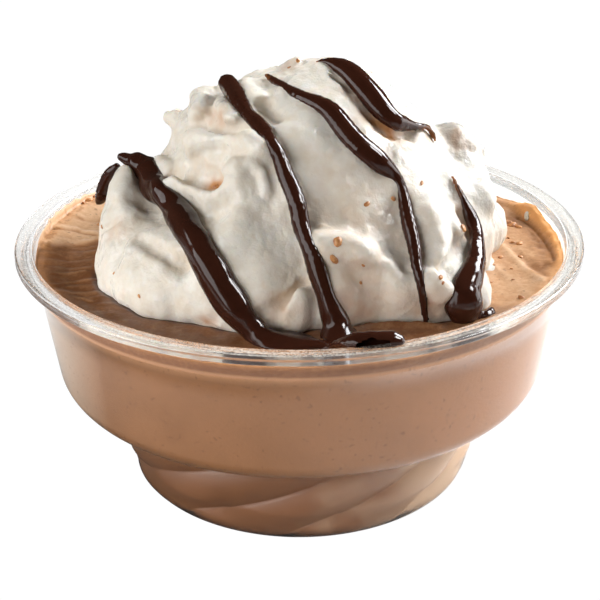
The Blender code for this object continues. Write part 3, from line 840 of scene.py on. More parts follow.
# %% Creme finish
SIDE_SHADED = (0.215, 0.098, 0.039)
SIDE_LIT = (0.40, 0.188, 0.081)
SIDE_RIGHT_PAINTED_SHEEN = (0.46, 0.45, 0.385)
SIDE_LEFT_PAINTED_SHEEN = (0.62, 0.50, 0.38)
UNDER_RIM_PAINTED_LIGHT = (0.55, 0.29, 0.145)
FOOT_SHADED = (0.11, 0.042, 0.015)
FOOT_LIT = (0.235, 0.098, 0.043)
FOOT_RIGHT_PAINTED_LIGHT = (0.54, 0.385, 0.255)
TOP_SHADED = (0.21, 0.082, 0.03)
TOP_TAN = (0.52, 0.28, 0.14)
TOP_LIT = (0.76, 0.515, 0.32)
TOP_CONTACT_SHADE = (0.085, 0.03, 0.012)
BORDER_LOW = (0.46, 0.21, 0.08)
BORDER_HIGH = (0.92, 0.44, 0.15)
SPECK = (0.12, 0.05, 0.022)
CREME_TOP_HEIGHT = CUP_HEIGHT - CREME_LEVEL


def creme_side(x, height, mottle):
    """Through the wall: painted shade on the left and in the foot, painted sheen at both edges."""
    across = x / (40.0 * MM) + mottle
    # Painted shade on the left, painted light on the right.
    side = blend(ramp(across, -0.5, 1.1), SIDE_SHADED, SIDE_LIT)
    # Painted sheen at both edges, and painted light under the rim, which the flange shades.
    side = blend(0.8 * ramp_mm(x, 38.0, 47.5), side, SIDE_RIGHT_PAINTED_SHEEN)
    side = blend(0.85 * ramp_mm(x, -31.0, -46.0), side, SIDE_LEFT_PAINTED_SHEEN)
    side = blend(0.6 * ramp_mm(height, 38.4, 39.6), side, UNDER_RIM_PAINTED_LIGHT)
    # The foot: painted shade under the bowl, and painted light on its right.
    foot = blend(ramp(across, -0.3, 0.6), FOOT_SHADED, FOOT_LIT)
    foot = blend(ramp(across, 0.6, 1.2), foot, FOOT_RIGHT_PAINTED_LIGHT)
    return blend(0.85 * ramp_mm(height, FOOT_HEIGHT + 1.0, FOOT_HEIGHT - 2.0), side, foot)


def creme_skin(height, mottle, grain):
    """The colour of the open top, from the values kept in the mesh's points."""
    shade = kept_value(height, "pale") + 0.5 * (grain - 0.5) + 0.25 * (mottle - 0.5)
    # Painted shade darkens the top to a brown, and painted light turns it a pale tan.
    top = blend(ramp(shade, 0.0, 0.55), TOP_SHADED, TOP_TAN)
    top = blend(ramp(shade, 0.55, 1.0), top, TOP_LIT)
    # Painted shade, nearly black, where the creme meets the cream.
    top = blend(ramp(shade, -0.1, -0.5), top, TOP_CONTACT_SHADE)
    # Painted light: the orange border is brighter towards its top, where light shines through it.
    uneven = height + 0.8 * MM * (grain - 0.5)
    border = blend(ramp_mm(uneven, CREME_TOP_HEIGHT + 0.3, CREME_TOP_HEIGHT + 1.3),
                   BORDER_LOW, BORDER_HIGH)
    return blend(kept_value(height, "warm") * 0.85, top, border)


def set_creme():
    material, wire, shader = new_finish("set creme", Specular_IOR_Level=0.35, IOR=1.45)
    place = place_in(wire)
    height = axis_of(place, "Z")
    mottle = noise_at(place, 9.0, 4.0, 0.6)
    side = creme_side(axis_of(place, "X"), height, mottle)
    skin = creme_skin(height, mottle, noise_at(place, 0.7, 3.0, 0.7))
    upper = ramp_mm(height, CREME_TOP_HEIGHT - 1.0, CREME_TOP_HEIGHT - 0.6)
    body = blend(upper, side, skin)
    speck = ramp(noise_at(place, 0.8, 1.0), 0.66, 0.74)
    feed(blend(speck * 0.4, body, SPECK), shader, "Base Color")
    feed(0.30 + 0.2 * mottle, shader, "Roughness")
    feed(bump(noise_at(place, 0.6, 3.0, 0.6), 0.5, 0.12), shader, "Normal")
    return material


creme_finish = set_creme()
print(creme_finish.name, "has", len(creme_finish.node_tree.nodes), "nodes")

# %% [markdown]
# ## The cream's form
#
# Whipped cream dropped from a spoon is a heap of soft dollops with torn curls. It could be
# sculpted, but a sculpt can't be read or changed. So the mound is a set of dollops that run
# together, with hollows pressed in and folds laid on. The dollops and the main hollows are those of
# the solid. The whole is then warped a little, so that no dollop stays a clean egg.

# %% Dollops, hollows and folds
BLEND = 2.8
DOLLOPS = [
    (1.8, 2.0, -3.0, 28.6, 29.5, 30.5, 0),       # body of the mound
    (4.5, 3.0, 9.0, 16.5, 17.0, 19.6, 0),        # summit
    (-6.0, 5.0, 12.0, 13.0, 12.0, 13.5, 0),      # between summit and left shoulder
    (-14.0, 4.5, 11.0, 8.0, 10.0, 12.6, 0),      # left shoulder
    (-18.6, 5.0, 3.0, 6.8, 10.0, 10.0, 0),       # left slope
    (-26.5, 2.0, 0.0, 6.5, 10.0, 9.5, 0),        # left slope, lower
    (14.6, 4.0, 8.0, 10.0, 12.0, 10.4, 0),       # right of the summit
    (27.4, 7.0, 8.0, 5.4, 8.0, 8.0, 0),          # right shoulder
    (25.0, -2.0, 0.0, 9.5, 14.0, 13.0, 0),       # right flank
    (32.8, 5.0, -2.0, 4.8, 7.0, 5.6, 0),         # right lobe
    (-18.6, -17.2, -2.0, 13.8, 11.0, 9.5, -40),  # low left dollop
    (-28.0, -5.5, -1.0, 7.4, 10.0, 9.5, 0),      # folded left edge
    (-30.3, -3.0, 5.0, 3.4, 5.5, 7.6, 0),        # its upper lobe
    (-28.8, -12.2, -3.4, 5.8, 5.6, 6.4, 0),      # and its foot
    (-8.0, -17.5, -1.0, 14.0, 15.6, 12.0, 10),   # front, left of the middle
    (5.0, -15.8, -1.5, 15.0, 16.2, 12.8, 0),     # front middle
    (17.0, -16.9, -2.2, 13.0, 13.4, 10.6, -10),  # front, right
    (24.2, -15.5, -4.2, 6.7, 11.2, 7.8, 20),     # low on the right
    (0.0, 18.0, 2.0, 22.0, 14.0, 16.0, 0),       # back
    (-17.0, 17.0, -1.0, 13.0, 12.0, 11.0, 0),    # back, left
    (18.0, 17.0, -1.0, 13.0, 12.0, 12.0, 0),     # back, right
]
# What it is, radius at each end, softness, and the points its middle runs through.
FOLDS = [
    ("crest across the left", 1.8, 2.0, 1.6,
     [(-17.4, -8.3, 18.2), (-15.2, -9.2, 19.6), (-12.7, -10.4, 20.5), (-10.1, -12.4, 21.0),
      (-7.6, -14.8, 20.8), (-5.7, -16.8, 20.0)]),
    ("crest under the dent", 2.0, 2.0, 1.5,
     [(-21.1, -10.9, 11.2), (-18.8, -12.8, 13.2), (-16.6, -15.0, 13.3), (-14.3, -17.3, 13.0),
      (-11.9, -18.6, 14.0), (-9.7, -18.6, 15.9)]),
    ("lump beside the left drizzle", 1.6, 1.4, 1.2,
     [(-23.6, -1.1, 12.3), (-21.8, -6.0, 12.8)]),
    ("lumps of the left shoulder", 1.6, 1.6, 1.2,
     [(-12.4, -1.7, 23.7), (-10.5, -8.1, 23.2)]),
    ("lumps of the left shoulder", 2.2, 2.2, 1.4,
     [(-16.1, 4.2, 23.2), (-16.4, -0.4, 22.0)]),
    ("lump beside the middle drizzle", 2.0, 2.0, 1.2,
     [(-8.4, 1.3, 25.4), (-6.9, -5.8, 24.6)]),
    ("panel under the second crest", 3.0, 3.4, 2.4,
     [(-8.6, -16.2, 16.2), (-8.0, -19.5, 12.0), (-9.2, -23.0, 8.0)]),
    ("second crest", 1.0, 0.8, 1.0,
     [(-12.0, -17.4, 16.6), (-9.6, -17.9, 18.4), (-7.4, -18.4, 18.7), (-5.9, -19.4, 17.6),
      (-5.4, -20.8, 15.2)]),
    ("bulge under the ledge", 3.2, 3.6, 1.2,
     [(4.0, -27.0, 7.4), (6.9, -26.2, 7.8), (9.4, -26.4, 6.8)]),
    ("wet edge of the bulge", 0.9, 0.8, 0.8,
     [(10.6, -25.5, 8.9), (10.7, -27.0, 7.5), (9.7, -29.1, 5.7), (8.9, -30.1, 4.4)]),
    ("curdled edge", 1.2, 1.0, 0.8,
     [(2.5, -24.5, 12.2), (3.3, -25.3, 10.6), (5.3, -25.8, 9.7)]),
    ("curdled edge", 0.8, 0.8, 0.6,
     [(4.3, -26.7, 9.2), (5.0, -27.8, 7.9)]),
    ("soft bulge low in front", 3.4, 3.2, 2.0,
     [(14.9, -26.3, 3.2), (15.5, -27.8, 0.1)]),
    ("soft bulge low in front", 3.2, 3.0, 2.0,
     [(5.7, -29.1, 1.5), (6.2, -29.6, -1.8)]),
    ("small lobe", 2.6, 2.8, 1.2,
     [(0.2, -30.6, 0.6), (-0.6, -31.0, -2.6)]),
    ("ridge on the right", 1.2, 1.6, 3.0,
     [(15.9, -10.9, 19.2), (18.6, -11.7, 16.0), (21.3, -12.8, 12.6), (22.1, -14.7, 9.8)]),
    ("panel on the right", 4.2, 4.2, 3.0,
     [(15.9, -12.4, 13.6), (19.0, -15.2, 9.2), (20.4, -18.2, 6.2)]),
    ("ridge on the far right", 1.6, 1.8, 3.6,
     [(27.1, 4.2, 14.6), (29.3, 2.5, 13.0), (30.8, -1.5, 9.6), (31.2, -6.9, 8.0)]),
    ("lip beside the right drizzle", 1.4, 1.2, 1.2,
     [(24.9, -14.4, 8.1), (25.2, -17.7, 7.0), (26.3, -20.1, 5.8)]),
    ("crest low on the right", 2.4, 2.4, 2.0,
     [(20.0, -19.7, 8.4), (21.5, -22.6, 6.5), (21.9, -25.0, 4.8)]),
    ("lump low on the right", 2.4, 2.2, 1.4,
     [(20.4, -28.8, 1.8), (22.0, -28.9, 0.5)]),
    ("drop on the border", 0.62, 0.5, 0.2, [(42.9, 12.1, -3.4), (43.0, 12.7, -2.8)]),
    ("smear on the creme, right", 2.0, 1.6, 0.8,
     [(32.6, -4.5, -5.4), (33.6, -8.5, -5.3), (33.4, -11.5, -5.5)]),
    ("smear on the creme, left", 0.45, 0.4, 0.5,
     [(-19.5, -25.6, -4.0), (-17.5, -27.4, -4.0), (-15.0, -29.3, -4.0), (-12.6, -31.2, -4.0)]),
]
HOLLOWS = [
    ("above the crest", 1.5, 1.5, 1.6,
     [(-16.1, -5.3, 20.6), (-13.2, -9.2, 21.1), (-9.1, -11.9, 22.2)]),
    ("left of the panel", 0.3, 0.7, 2.6,
     [(-17.4, -11.6, 16.0), (-18.4, -12.1, 14.6)]),
    ("the dent", 2.4, 1.8, 1.4,
     [(-17.0, -13.5, 14.9), (-14.7, -15.6, 14.9), (-12.8, -17.2, 14.7)]),
    ("beside the left drizzle", 1.6, 1.2, 1.6,
     [(-20.4, -9.9, 13.5), (-19.2, -10.5, 15.0)]),
    ("crease of the low left dollop", 0.7, 1.3, 1.4,
     [(-26.8, -18.0, 5.3), (-25.0, -19.8, 5.5), (-22.8, -22.6, 5.5), (-20.3, -25.0, 5.0),
      (-18.3, -26.1, 4.7)]),
    ("pocket under the left drizzle", 0.8, 0.7, 2.0,
     [(-28.6, -9.1, 9.2), (-26.3, -8.5, 8.2)]),
    ("crease on the left edge", 0.5, 0.4, 0.7,
     [(-33.9, -9.6, 3.0), (-31.9, -11.4, 5.0), (-30.3, -12.0, 6.5), (-28.8, -11.2, 7.8)]),
    ("crease beside the small lobe", 0.6, 0.5, 1.6,
     [(-6.2, -33.4, -1.1), (-3.7, -32.7, 0.1), (-1.2, -31.4, 1.3), (1.0, -30.4, 2.7)]),
    ("the ledge", 2.2, 1.8, 3.0,
     [(2.8, -25.8, 13.4), (5.6, -26.2, 12.8), (8.4, -26.2, 12.2), (11.1, -25.8, 11.2),
      (13.5, -25.6, 9.6), (15.3, -26.2, 7.6), (16.6, -27.2, 5.8)]),
    ("between the low bulges", 2.0, 2.0, 2.0,
     [(9.6, -30.9, 4.2), (11.3, -31.4, 1.5), (11.6, -31.6, -1.6)]),
    ("under the lip on the right", 1.4, 1.3, 1.0,
     [(27.3, -14.6, 6.9), (27.9, -16.9, 5.9)]),
    ("diagonal hollow on the right", 1.9, 1.8, 1.4,
     [(27.8, -20.9, 4.9), (25.6, -24.7, 4.4), (23.5, -27.6, 3.6)]),
    ("under the back drizzle", 1.6, 1.5, 1.2,
     [(12.4, -8.4, 23.7), (13.6, -10.5, 22.1), (15.7, -10.7, 20.6), (18.8, -8.0, 19.4)]),
    ("under the back drizzle's start", 1.4, 1.2, 1.0,
     [(6.6, -2.3, 28.4), (8.7, -4.6, 27.1)]),
    ("top, beside the middle drizzle", 1.6, 1.4, 1.4,
     [(-5.9, -7.2, 24.8), (-3.9, -10.7, 24.1)]),
]
# Ragged curls along the skyline: foot, tip, radius at the foot and at the tip.
PEAKS = [
    ((-19.0, 5.0, 14.5), (-21.2, 5.4, 18.2), 2.4, 1.1),
    ((-21.2, 5.4, 18.2), (-20.7, 5.2, 19.5), 1.1, 0.8),
    ((-15.0, 4.2, 20.5), (-16.9, 4.5, 23.7), 2.3, 1.0),
    ((-16.6, 4.5, 21.8), (-17.6, 4.5, 21.6), 1.0, 0.6),
    ((-19.6, 5.0, 17.4), (-22.0, 5.4, 18.6), 1.5, 1.1),
    ((-12.0, 4.5, 22.0), (-12.6, 5.0, 25.0), 3.0, 0.9),
    ((-0.8, 5.5, 26.5), (-0.2, 5.5, 29.2), 2.4, 0.6),
    ((14.5, 5.5, 19.5), (15.3, 6.0, 23.0), 2.4, 1.3),
    ((16.4, 6.0, 18.0), (17.3, 6.5, 20.8), 1.6, 0.8),
    ((18.2, 6.0, 16.5), (18.7, 6.5, 19.5), 1.3, 0.7),
    ((20.4, 6.0, 14.5), (20.8, 6.5, 16.5), 1.6, 1.0),
    ((24.0, 7.5, 12.0), (24.8, 8.0, 14.2), 2.4, 1.3),
    ((28.2, 6.5, 12.0), (28.8, 7.0, 14.4), 2.4, 1.4),
    ((30.0, 6.0, 10.5), (30.5, 6.5, 13.4), 2.4, 1.3),
    ((31.0, 5.5, 9.0), (32.6, 6.0, 11.4), 2.0, 1.0),
]
PEAK_SOFTNESS = 0.9
print(len(DOLLOPS), "dollops,", len(FOLDS), "folds,", len(HOLLOWS), "hollows,", len(PEAKS), "curls")

# %% The cream's distance
def warped(points):
    """Points moved by smooth random amounts, so that clean forms come out uneven."""
    moved = points.astype(float)
    for axis in range(3):
        moved[:, axis] += 0.75 * lumps(points, 7.0, 20 + axis) + 0.3 * lumps(points, 2.8, 30 + axis)
    return moved


def cream_distance(points):
    """Distance to the cream's surface, points in millimetres about the rim's centre."""
    points = warped(points)
    distance = ellipsoid(points, DOLLOPS[0])
    for dollop in DOLLOPS[1:]:
        distance = join(distance, ellipsoid(points, dollop), BLEND)
    for _, start_radius, end_radius, softness, path in FOLDS:
        distance = join(distance, chain(points, path, start_radius, end_radius), softness)
    for peak in PEAKS:
        distance = join(distance, capsule(points, *peak), PEAK_SOFTNESS)
    for _, start_radius, end_radius, softness, path in HOLLOWS:
        distance = -join(-distance, chain(points, path, start_radius, end_radius), softness)
    return distance


above = np.array([[0.0, 0.0, 40.0]])
print("from 40 mm above the rim to the cream:", round(float(cream_distance(above)[0]), 1), "mm")

# %% [markdown]
# ## The creme's mesh
#
# The creme is turned like the cup: rings go up inside the wall, over the film that sticks to it,
# and then inwards over the top, dense where it is open and sparse under the cream. The creme dips
# beside the cream on the left and is painted dark there with shade, which is why it comes after
# the cream's form.

# %% The creme
# The creme reaches this far into the wall, so that no gap shows between them.
CREME_OVERLAP = 0.15
CREME_SIDE_STOP = 0.8
CREME_EDGE_RADIUS = 46.5
# How much of the film's height each ring at the edge takes, and how far past the wall it lies.
EDGE_RINGS = ((0.0, 0.15), (1.0, 0.15), (1.0, -0.1), (0.5, -0.12), (0.05, -0.2))
OPEN_RADII = np.arange(46.2, 27.0, -0.3)
HIDDEN_RADII = [24.0, 16.0, 8.0]


def mouth_radius(height):
    """The inner wall's radius at a height about the rim, near the rim."""
    slope = MOUTH_TAPER / (MOUTH_DEPTH - MOUTH_ROUND)
    return MOUTH_RADIUS - MOUTH_TAPER + (height + MOUTH_DEPTH) * slope


def build_creme():
    columns = 2 * COLUMNS
    side_top = CREME_TOP_HEIGHT - CREME_SIDE_STOP
    side = [point for point in inner_outline(WALL - CREME_OVERLAP) if point[1] < side_top]
    rings = [ring(r, z, columns) for r, z in side]
    kept = [(np.zeros(columns), np.zeros(columns))] * len(rings)
    angles = 360.0 * np.arange(columns) / columns
    around = np.column_stack([np.cos(np.radians(angles)), np.sin(np.radians(angles))])
    edge = around * CREME_EDGE_RADIUS
    edge_height, edge_pale, edge_warm = creme_top(edge)
    ragged = lumps(np.column_stack([edge, np.zeros(columns)]), 1.3, 24)
    smeared = bell(angles, 17.0, 164.0)
    film = 0.1 + 1.4 * smeared * (1.0 + 0.3 * ragged)
    for lift, reach in EDGE_RINGS:
        height = edge_height + film * lift
        rings.append(np.column_stack([around * (mouth_radius(height) + reach)[:, None], height]))
        kept.append((np.clip(edge_pale + 1.3 * smeared * lift, 0, 1), edge_warm))
    for r in np.concatenate([OPEN_RADII, HIDDEN_RADII]):
        height, pale, warm = creme_top(around * r)
        gap = np.clip(cream_distance(np.column_stack([around * r, height])), 0.0, None)
        # Painted shade: beside the cream on the left the creme dips and is painted dark.
        beside = bell(gap, 0.7) * eased(-r * around[:, 0], -31.0, -25.0)
        rings.append(np.column_stack([around * r, height - 0.35 * beside]))
        kept.append((pale - 0.7 * beside, warm))
    values = {"pale": np.concatenate([row[0] for row in kept]),
              "warm": np.concatenate([row[1] for row in kept])}
    creme = piece("creme_filling", *lathe(rings), creme_finish, "set_creme", values=values)
    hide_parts("creme")
    return creme


creme = build_creme()

# %% [markdown]
# ## The cream's finish
#
# Whipped cream is a warm white. Light goes a little way into it, which a weak subsurface gives, and
# its hollows look tan because the light in them has touched cream on all sides. Sauce and crumbs
# have stained it in places, and the same table paints shade over the middle front and the amber
# light that comes through the sauce beside the drizzles. The right side is painted darker, as
# shade, where the lamp falls strongest. The stains, shade and hollows are kept in the mesh's
# points, and fine noise gives the curdled bump and the wetter patches.

# %% Stains and cream finish
# Stains where sauce and crumbs have coloured the cream, and painted shade and light: x, y, z, radius
# and strength. The first three rows paint shade over the middle front, and some rows beside the
# drizzles paint the amber light that comes through the sauce.
STAINS_AND_SHADE = [
    (8.0, -23.0, 14.0, 8.0, 0.16), (17.0, -22.0, 9.0, 6.0, 0.12), (8.0, -30.0, 3.0, 7.0, 0.12),
    (12.9, -8.3, 22.6, 3.2, 0.75), (16.4, -9.2, 20.2, 2.6, 0.7), (9.4, -5.4, 26.0, 2.2, 0.35),
    (-13.5, -15.0, 13.3, 1.4, 0.9), (-14.6, -14.2, 13.6, 3.2, 0.25), (27.2, -16.6, 6.6, 1.9, 0.8),
    (26.3, -13.4, 8.6, 1.6, 0.4), (26.5, -20.5, 5.4, 2.0, 0.35), (19.5, -14.0, 13.6, 1.6, 0.5),
    (21.4, -5.8, 18.3, 1.8, 0.35), (27.5, 2.0, 15.6, 2.2, 0.4), (30.6, 2.6, 12.0, 2.2, 0.35),
    (-12.5, -6.0, 22.2, 2.4, 0.35), (-15.0, -3.0, 20.6, 2.0, 0.3), (-30.5, -12.6, 4.4, 2.4, 0.25),
    (34.0, -8.0, 0.0, 2.6, 0.3), (-2.0, 4.5, 28.6, 1.5, 0.5), (-14.5, -30.0, -3.8, 1.6, 0.7),
    (20.5, -29.5, -1.5, 4.0, 0.3), (9.0, -30.5, -2.0, 5.0, 0.3), (-3.0, -31.0, -3.0, 4.5, 0.35),
]
CREAM_SHADED = (0.82, 0.735, 0.61)
CREAM_WHITE = (0.89, 0.85, 0.765)
CREAM_HOLLOW = (0.68, 0.54, 0.39)
CREAM_RIGHT_SHADE = (0.64, 0.605, 0.54)
CREAM_STAIN_AND_SHADE = (0.60, 0.29, 0.12)


def stain_and_shade(points):
    """How stained, and painted with shade and light, the cream is at each point."""
    total = np.zeros(len(points))
    for x, y, z, radius, strength in STAINS_AND_SHADE:
        reach = np.linalg.norm(points - np.array([x, y, z]), axis=1)
        total += strength * bell(reach, radius)
    return np.clip(total * (1.0 + 0.7 * lumps(points, 1.2, 45)), 0.0, 1.0)


def whipped_cream():
    material, wire, shader = new_finish(
        "whipped cream", Subsurface_Weight=0.25, Subsurface_Scale=0.0013,
        Subsurface_Radius=(1.0, 0.75, 0.5), IOR=1.4)
    place = place_in(wire)
    mottle = noise_at(place, 4.0, 4.0, 0.65)
    body = blend(ramp(mottle, 0.3, 0.6), CREAM_SHADED, CREAM_WHITE)
    body = blend(kept_value(wire, "hollow") * 0.5, body, CREAM_HOLLOW)
    # Painted shade: the right side, where the lamp falls strongest, is darker.
    body = blend(0.75 * ramp_mm(axis_of(place, "X"), 17.0, 27.0), body, CREAM_RIGHT_SHADE)
    # Stains, with painted shade over the middle and painted light through the sauce.
    feed(blend(kept_value(wire, "stain_and_shade"), body, CREAM_STAIN_AND_SHADE), shader, "Base Color")
    wet = ramp(noise_at(place, 4.0, 3.0), 0.5, 0.6)
    feed(0.5 - 0.3 * wet, shader, "Roughness")
    curd = 0.35 * noise_at(place, 0.8, 4.0, 0.65) + noise_at(place, 2.4, 3.0, 0.6)
    feed(bump(curd, 0.6, 0.45), shader, "Normal")
    return material


cream_finish = whipped_cream()
print(cream_finish.name, "has", len(cream_finish.node_tree.nodes), "nodes")

# %% The cream
CREAM_STEP = 0.38
CREAM_BOX = ((-38.0, -34.0, -CREME_LEVEL - 1.0), (45.0, 34.0, 31.5))
# A place this far out from the surface is tested for more cream, which makes a hollow.
HOLLOW_PROBE = 2.0
HOLLOW_REACH = 1.9


def relief(points):
    """How far fine bumps, and curls high up at the back, push the surface out."""
    x, y, z = points.T
    ragged = 0.2 + 0.8 * eased(y, -3.0, 3.0) * eased(z, 8.0, 14.0)
    ragged = ragged * (1.0 - 0.5 * eased(x, 22.0, 27.0) * eased(-y, -5.0, -2.0))
    curls = 0.5 - np.abs(lumps(points, 3.4, 43)) + 0.5 * (0.5 - np.abs(lumps(points, 1.8, 44)))
    return 0.12 * lumps(points, 1.7, 41) + 0.08 * lumps(points, 0.9, 42) + 0.5 * ragged * curls


def build_cream():
    points, faces = surface_net(cream_distance, CREAM_BOX, CREAM_STEP)
    normals = slope_of(cream_distance, points)
    room = np.clip(cream_distance(points + HOLLOW_PROBE * normals) / HOLLOW_REACH, 0.0, 1.0)
    hollow = (1.0 - room) * (1.0 - 0.7 * eased(points[:, 0], 22.0, 27.0))
    points = points + normals * relief(points)[:, None]
    return piece("cream_mound", points, faces, cream_finish, "whipped_cream",
                 values={"stain_and_shade": stain_and_shade(points), "hollow": hollow})


cream = build_cream()

# %% [markdown]
# ## The drizzles
#
# Each drizzle is a thick ribbon that lies on whatever is under it: the cream, the creme, and for
# one of them the cup's rim. A bevelled curve would give a plain hose. So a ribbon is drawn as three
# soft ridges side by side, because sauce that runs off a spoon folds as it falls.

# %% Routes and pools
# Rows x, y, z and half width, in millimetres about the rim's centre.
DRIZZLES = {
    "left": [(-29.8, 1.5, 12.1, 1.6), (-28.2, 1.0, 12.3, 2.1), (-26.9, -0.6, 11.7, 2.5),
             (-25.7, -3.4, 10.8, 2.6), (-24.6, -6.6, 10.3, 2.7), (-22.5, -12.1, 10.5, 2.5),
             (-20.5, -15.4, 9.7, 2.5), (-18.9, -19.4, 9.3, 2.6), (-17.3, -23.7, 8.5, 2.4),
             (-15.9, -26.5, 7.5, 2.4), (-14.8, -28.8, 6.3, 2.6), (-13.7, -30.3, 4.5, 2.8),
             (-12.6, -31.5, 3.0, 2.7), (-11.3, -32.5, 1.2, 2.8), (-10.0, -33.3, -0.7, 2.7),
             (-8.1, -34.2, -2.8, 2.3), (-5.0, -35.9, -3.9, 1.9), (-1.6, -36.7, -4.3, 1.4),
             (1.2, -37.0, -4.4, 1.0), (3.6, -37.6, -4.4, 0.6)],
    "left behind": [(-32.3, 2.4, 11.0, 0.8), (-33.0, 3.0, 9.9, 1.4), (-33.9, 4.0, 8.3, 1.7),
                    (-35.0, 5.0, 5.7, 1.8), (-36.2, 6.0, 3.2, 1.3)],
    "middle left": [(-12.6, 2.0, 26.3, 1.5), (-11.6, 0.2, 25.6, 1.8), (-9.9, -5.3, 24.7, 1.7),
                    (-8.2, -8.9, 23.9, 1.3), (-6.6, -11.9, 23.2, 1.4), (-5.2, -14.8, 22.5, 1.4),
                    (-4.1, -17.4, 21.7, 1.2), (-3.3, -18.8, 20.3, 1.3), (-2.6, -19.8, 18.8, 1.3),
                    (-1.8, -21.1, 17.0, 1.4), (-0.9, -22.8, 15.3, 1.5), (-0.3, -24.5, 13.6, 1.5),
                    (0.2, -25.7, 11.6, 1.5), (0.8, -27.2, 9.5, 1.5), (1.7, -29.0, 7.4, 1.6),
                    (2.6, -30.4, 5.3, 1.6), (3.2, -31.4, 3.2, 1.6), (4.0, -32.3, 1.1, 1.6),
                    (4.8, -33.0, -0.8, 1.9), (5.8, -33.6, -2.9, 2.1), (6.2, -36.0, -4.0, 1.4)],
    "end on the rim": [(4.8, -38.6, -4.1, 1.0), (5.6, -42.4, -1.6, 1.0), (6.8, -44.6, -0.1, 1.3),
                       (8.5, -45.4, 0.6, 1.6), (10.3, -45.7, 0.8, 1.7), (12.0, -45.6, 0.8, 1.6),
                       (13.4, -45.4, 0.8, 1.5), (14.5, -45.5, 0.6, 1.2)],
    "middle right": [(-5.3, 3.0, 27.0, 0.5), (-3.3, -0.8, 26.6, 0.8), (-0.4, -6.0, 26.2, 1.1),
                     (3.0, -9.4, 25.7, 1.5), (5.2, -11.5, 24.9, 1.8), (6.7, -13.2, 23.6, 1.9),
                     (8.3, -14.9, 22.1, 1.9), (10.1, -16.6, 20.6, 1.9), (12.0, -17.1, 19.1, 1.9),
                     (13.5, -17.3, 17.6, 1.7), (15.2, -17.2, 16.0, 1.2), (16.2, -17.9, 14.3, 1.1),
                     (16.8, -19.2, 12.5, 1.1), (17.1, -21.1, 10.8, 1.2), (17.6, -23.3, 9.0, 1.3),
                     (18.1, -25.2, 7.2, 1.2), (18.2, -27.4, 5.7, 1.0), (18.6, -29.3, 4.1, 0.9),
                     (19.0, -30.5, 2.2, 0.8), (19.4, -30.7, 0.0, 0.7), (19.7, -30.6, -2.3, 0.6),
                     (20.0, -30.6, -4.3, 0.4)],
    "back": [(3.3, 2.8, 29.1, 0.4), (5.2, 1.9, 29.4, 1.0), (7.4, 0.5, 29.1, 1.8),
             (9.3, -1.6, 28.4, 2.1), (10.7, -3.5, 27.2, 2.3), (12.0, -5.4, 25.9, 2.3),
             (13.4, -6.9, 24.5, 2.2), (14.9, -8.0, 23.1, 2.0), (16.5, -8.0, 22.0, 1.7),
             (18.5, -6.8, 20.9, 1.0), (20.3, -5.6, 20.4, 0.65), (22.0, -4.0, 19.6, 0.55),
             (22.9, -3.9, 18.3, 0.55), (23.3, -4.4, 17.4, 0.4)],
    "right": [(25.7, -9.2, 12.7, 0.3), (26.5, -10.5, 11.1, 0.5), (27.4, -11.5, 9.4, 0.7),
              (28.2, -12.4, 7.8, 1.1), (29.1, -13.4, 6.1, 1.4), (29.6, -15.4, 4.8, 1.5),
              (29.3, -19.0, 3.9, 1.6), (28.8, -22.3, 3.0, 1.8), (27.9, -25.0, 2.0, 2.2),
              (26.9, -27.0, 1.0, 2.5), (26.1, -28.5, -0.3, 2.8), (25.8, -29.2, -1.9, 2.9),
              (26.2, -29.2, -3.5, 2.4)],
    "hook": [(26.8, -28.8, -4.3, 1.4), (28.5, -28.1, -4.2, 1.1), (29.8, -28.0, -4.1, 0.9),
             (30.7, -27.0, -4.0, 0.8), (30.9, -26.1, -4.0, 0.6)],
}
# Where the sauce has run out flat or hangs in a drop: centre, half sizes and turn.
POOLS = [
    (-30.8, 1.6, 12.8, 1.2, 1.0, 0.8, 0.0),
    (-2.2, -36.0, -4.5, 5.2, 3.4, 0.9, -8.0),
    (2.6, -37.6, -4.4, 3.4, 1.3, 0.7, -6.0),
    (6.0, -34.2, -4.2, 2.9, 3.0, 1.2, 0.0),
    (26.0, -28.7, -1.6, 3.1, 2.6, 3.4, 0.0),
]
# Each ridge: how far to the side, how high and how thick, as shares of the half width.
RIDGES = [(-0.46, -0.08, 0.5), (0.0, 0.0, 0.66), (0.48, -0.1, 0.46)]
ROW_SPACING = 1.3
print(len(DRIZZLES), "drizzles and", len(POOLS), "pools")

# %% Ribbons
def smooth_route(route, spacing):
    """Points along a smooth curve through the route's own points."""
    points = np.array(route)
    points = np.concatenate([[2 * points[0] - points[1]], points, [2 * points[-1] - points[-2]]])
    smooth = []
    for p0, p1, p2, p3 in zip(points, points[1:], points[2:], points[3:]):
        steps = max(1, round(np.linalg.norm(p2 - p1) / spacing))
        for t in np.arange(steps) / steps:
            smooth.append(0.5 * (2 * p1 + (p2 - p0) * t + (2 * p0 - 5 * p1 + 4 * p2 - p3) * t**2
                                 + (3 * p1 - p0 - 3 * p2 + p3) * t**3))
    return np.array(smooth + [points[-2]])


def ridge_rows(route, seed):
    """The ridges of one drizzle, each as rows x, y, z, radius."""
    path = smooth_route(route, ROW_SPACING)
    place, width = path[:, :3], path[:, 3:4]
    along = np.gradient(place, axis=0)
    on_cream = eased(-cream_distance(place), -2.5, -1.0)[:, None]
    up = slope_of(cream_distance, place) * on_cream + np.array([0.0, 0.0, 1.0]) * (1 - on_cream)
    side = np.cross(along, up)
    side = side / (np.linalg.norm(side, axis=1)[:, None] + 1e-9)
    wander = 0.14 * lumps(place, 6.0, 60 + seed)[:, None]
    ridges = []
    for across, lift, share in RIDGES:
        middle = place + side * width * (across + wander) + up * width * lift
        ridges.append(np.hstack([middle, width * share]))
    return ridges


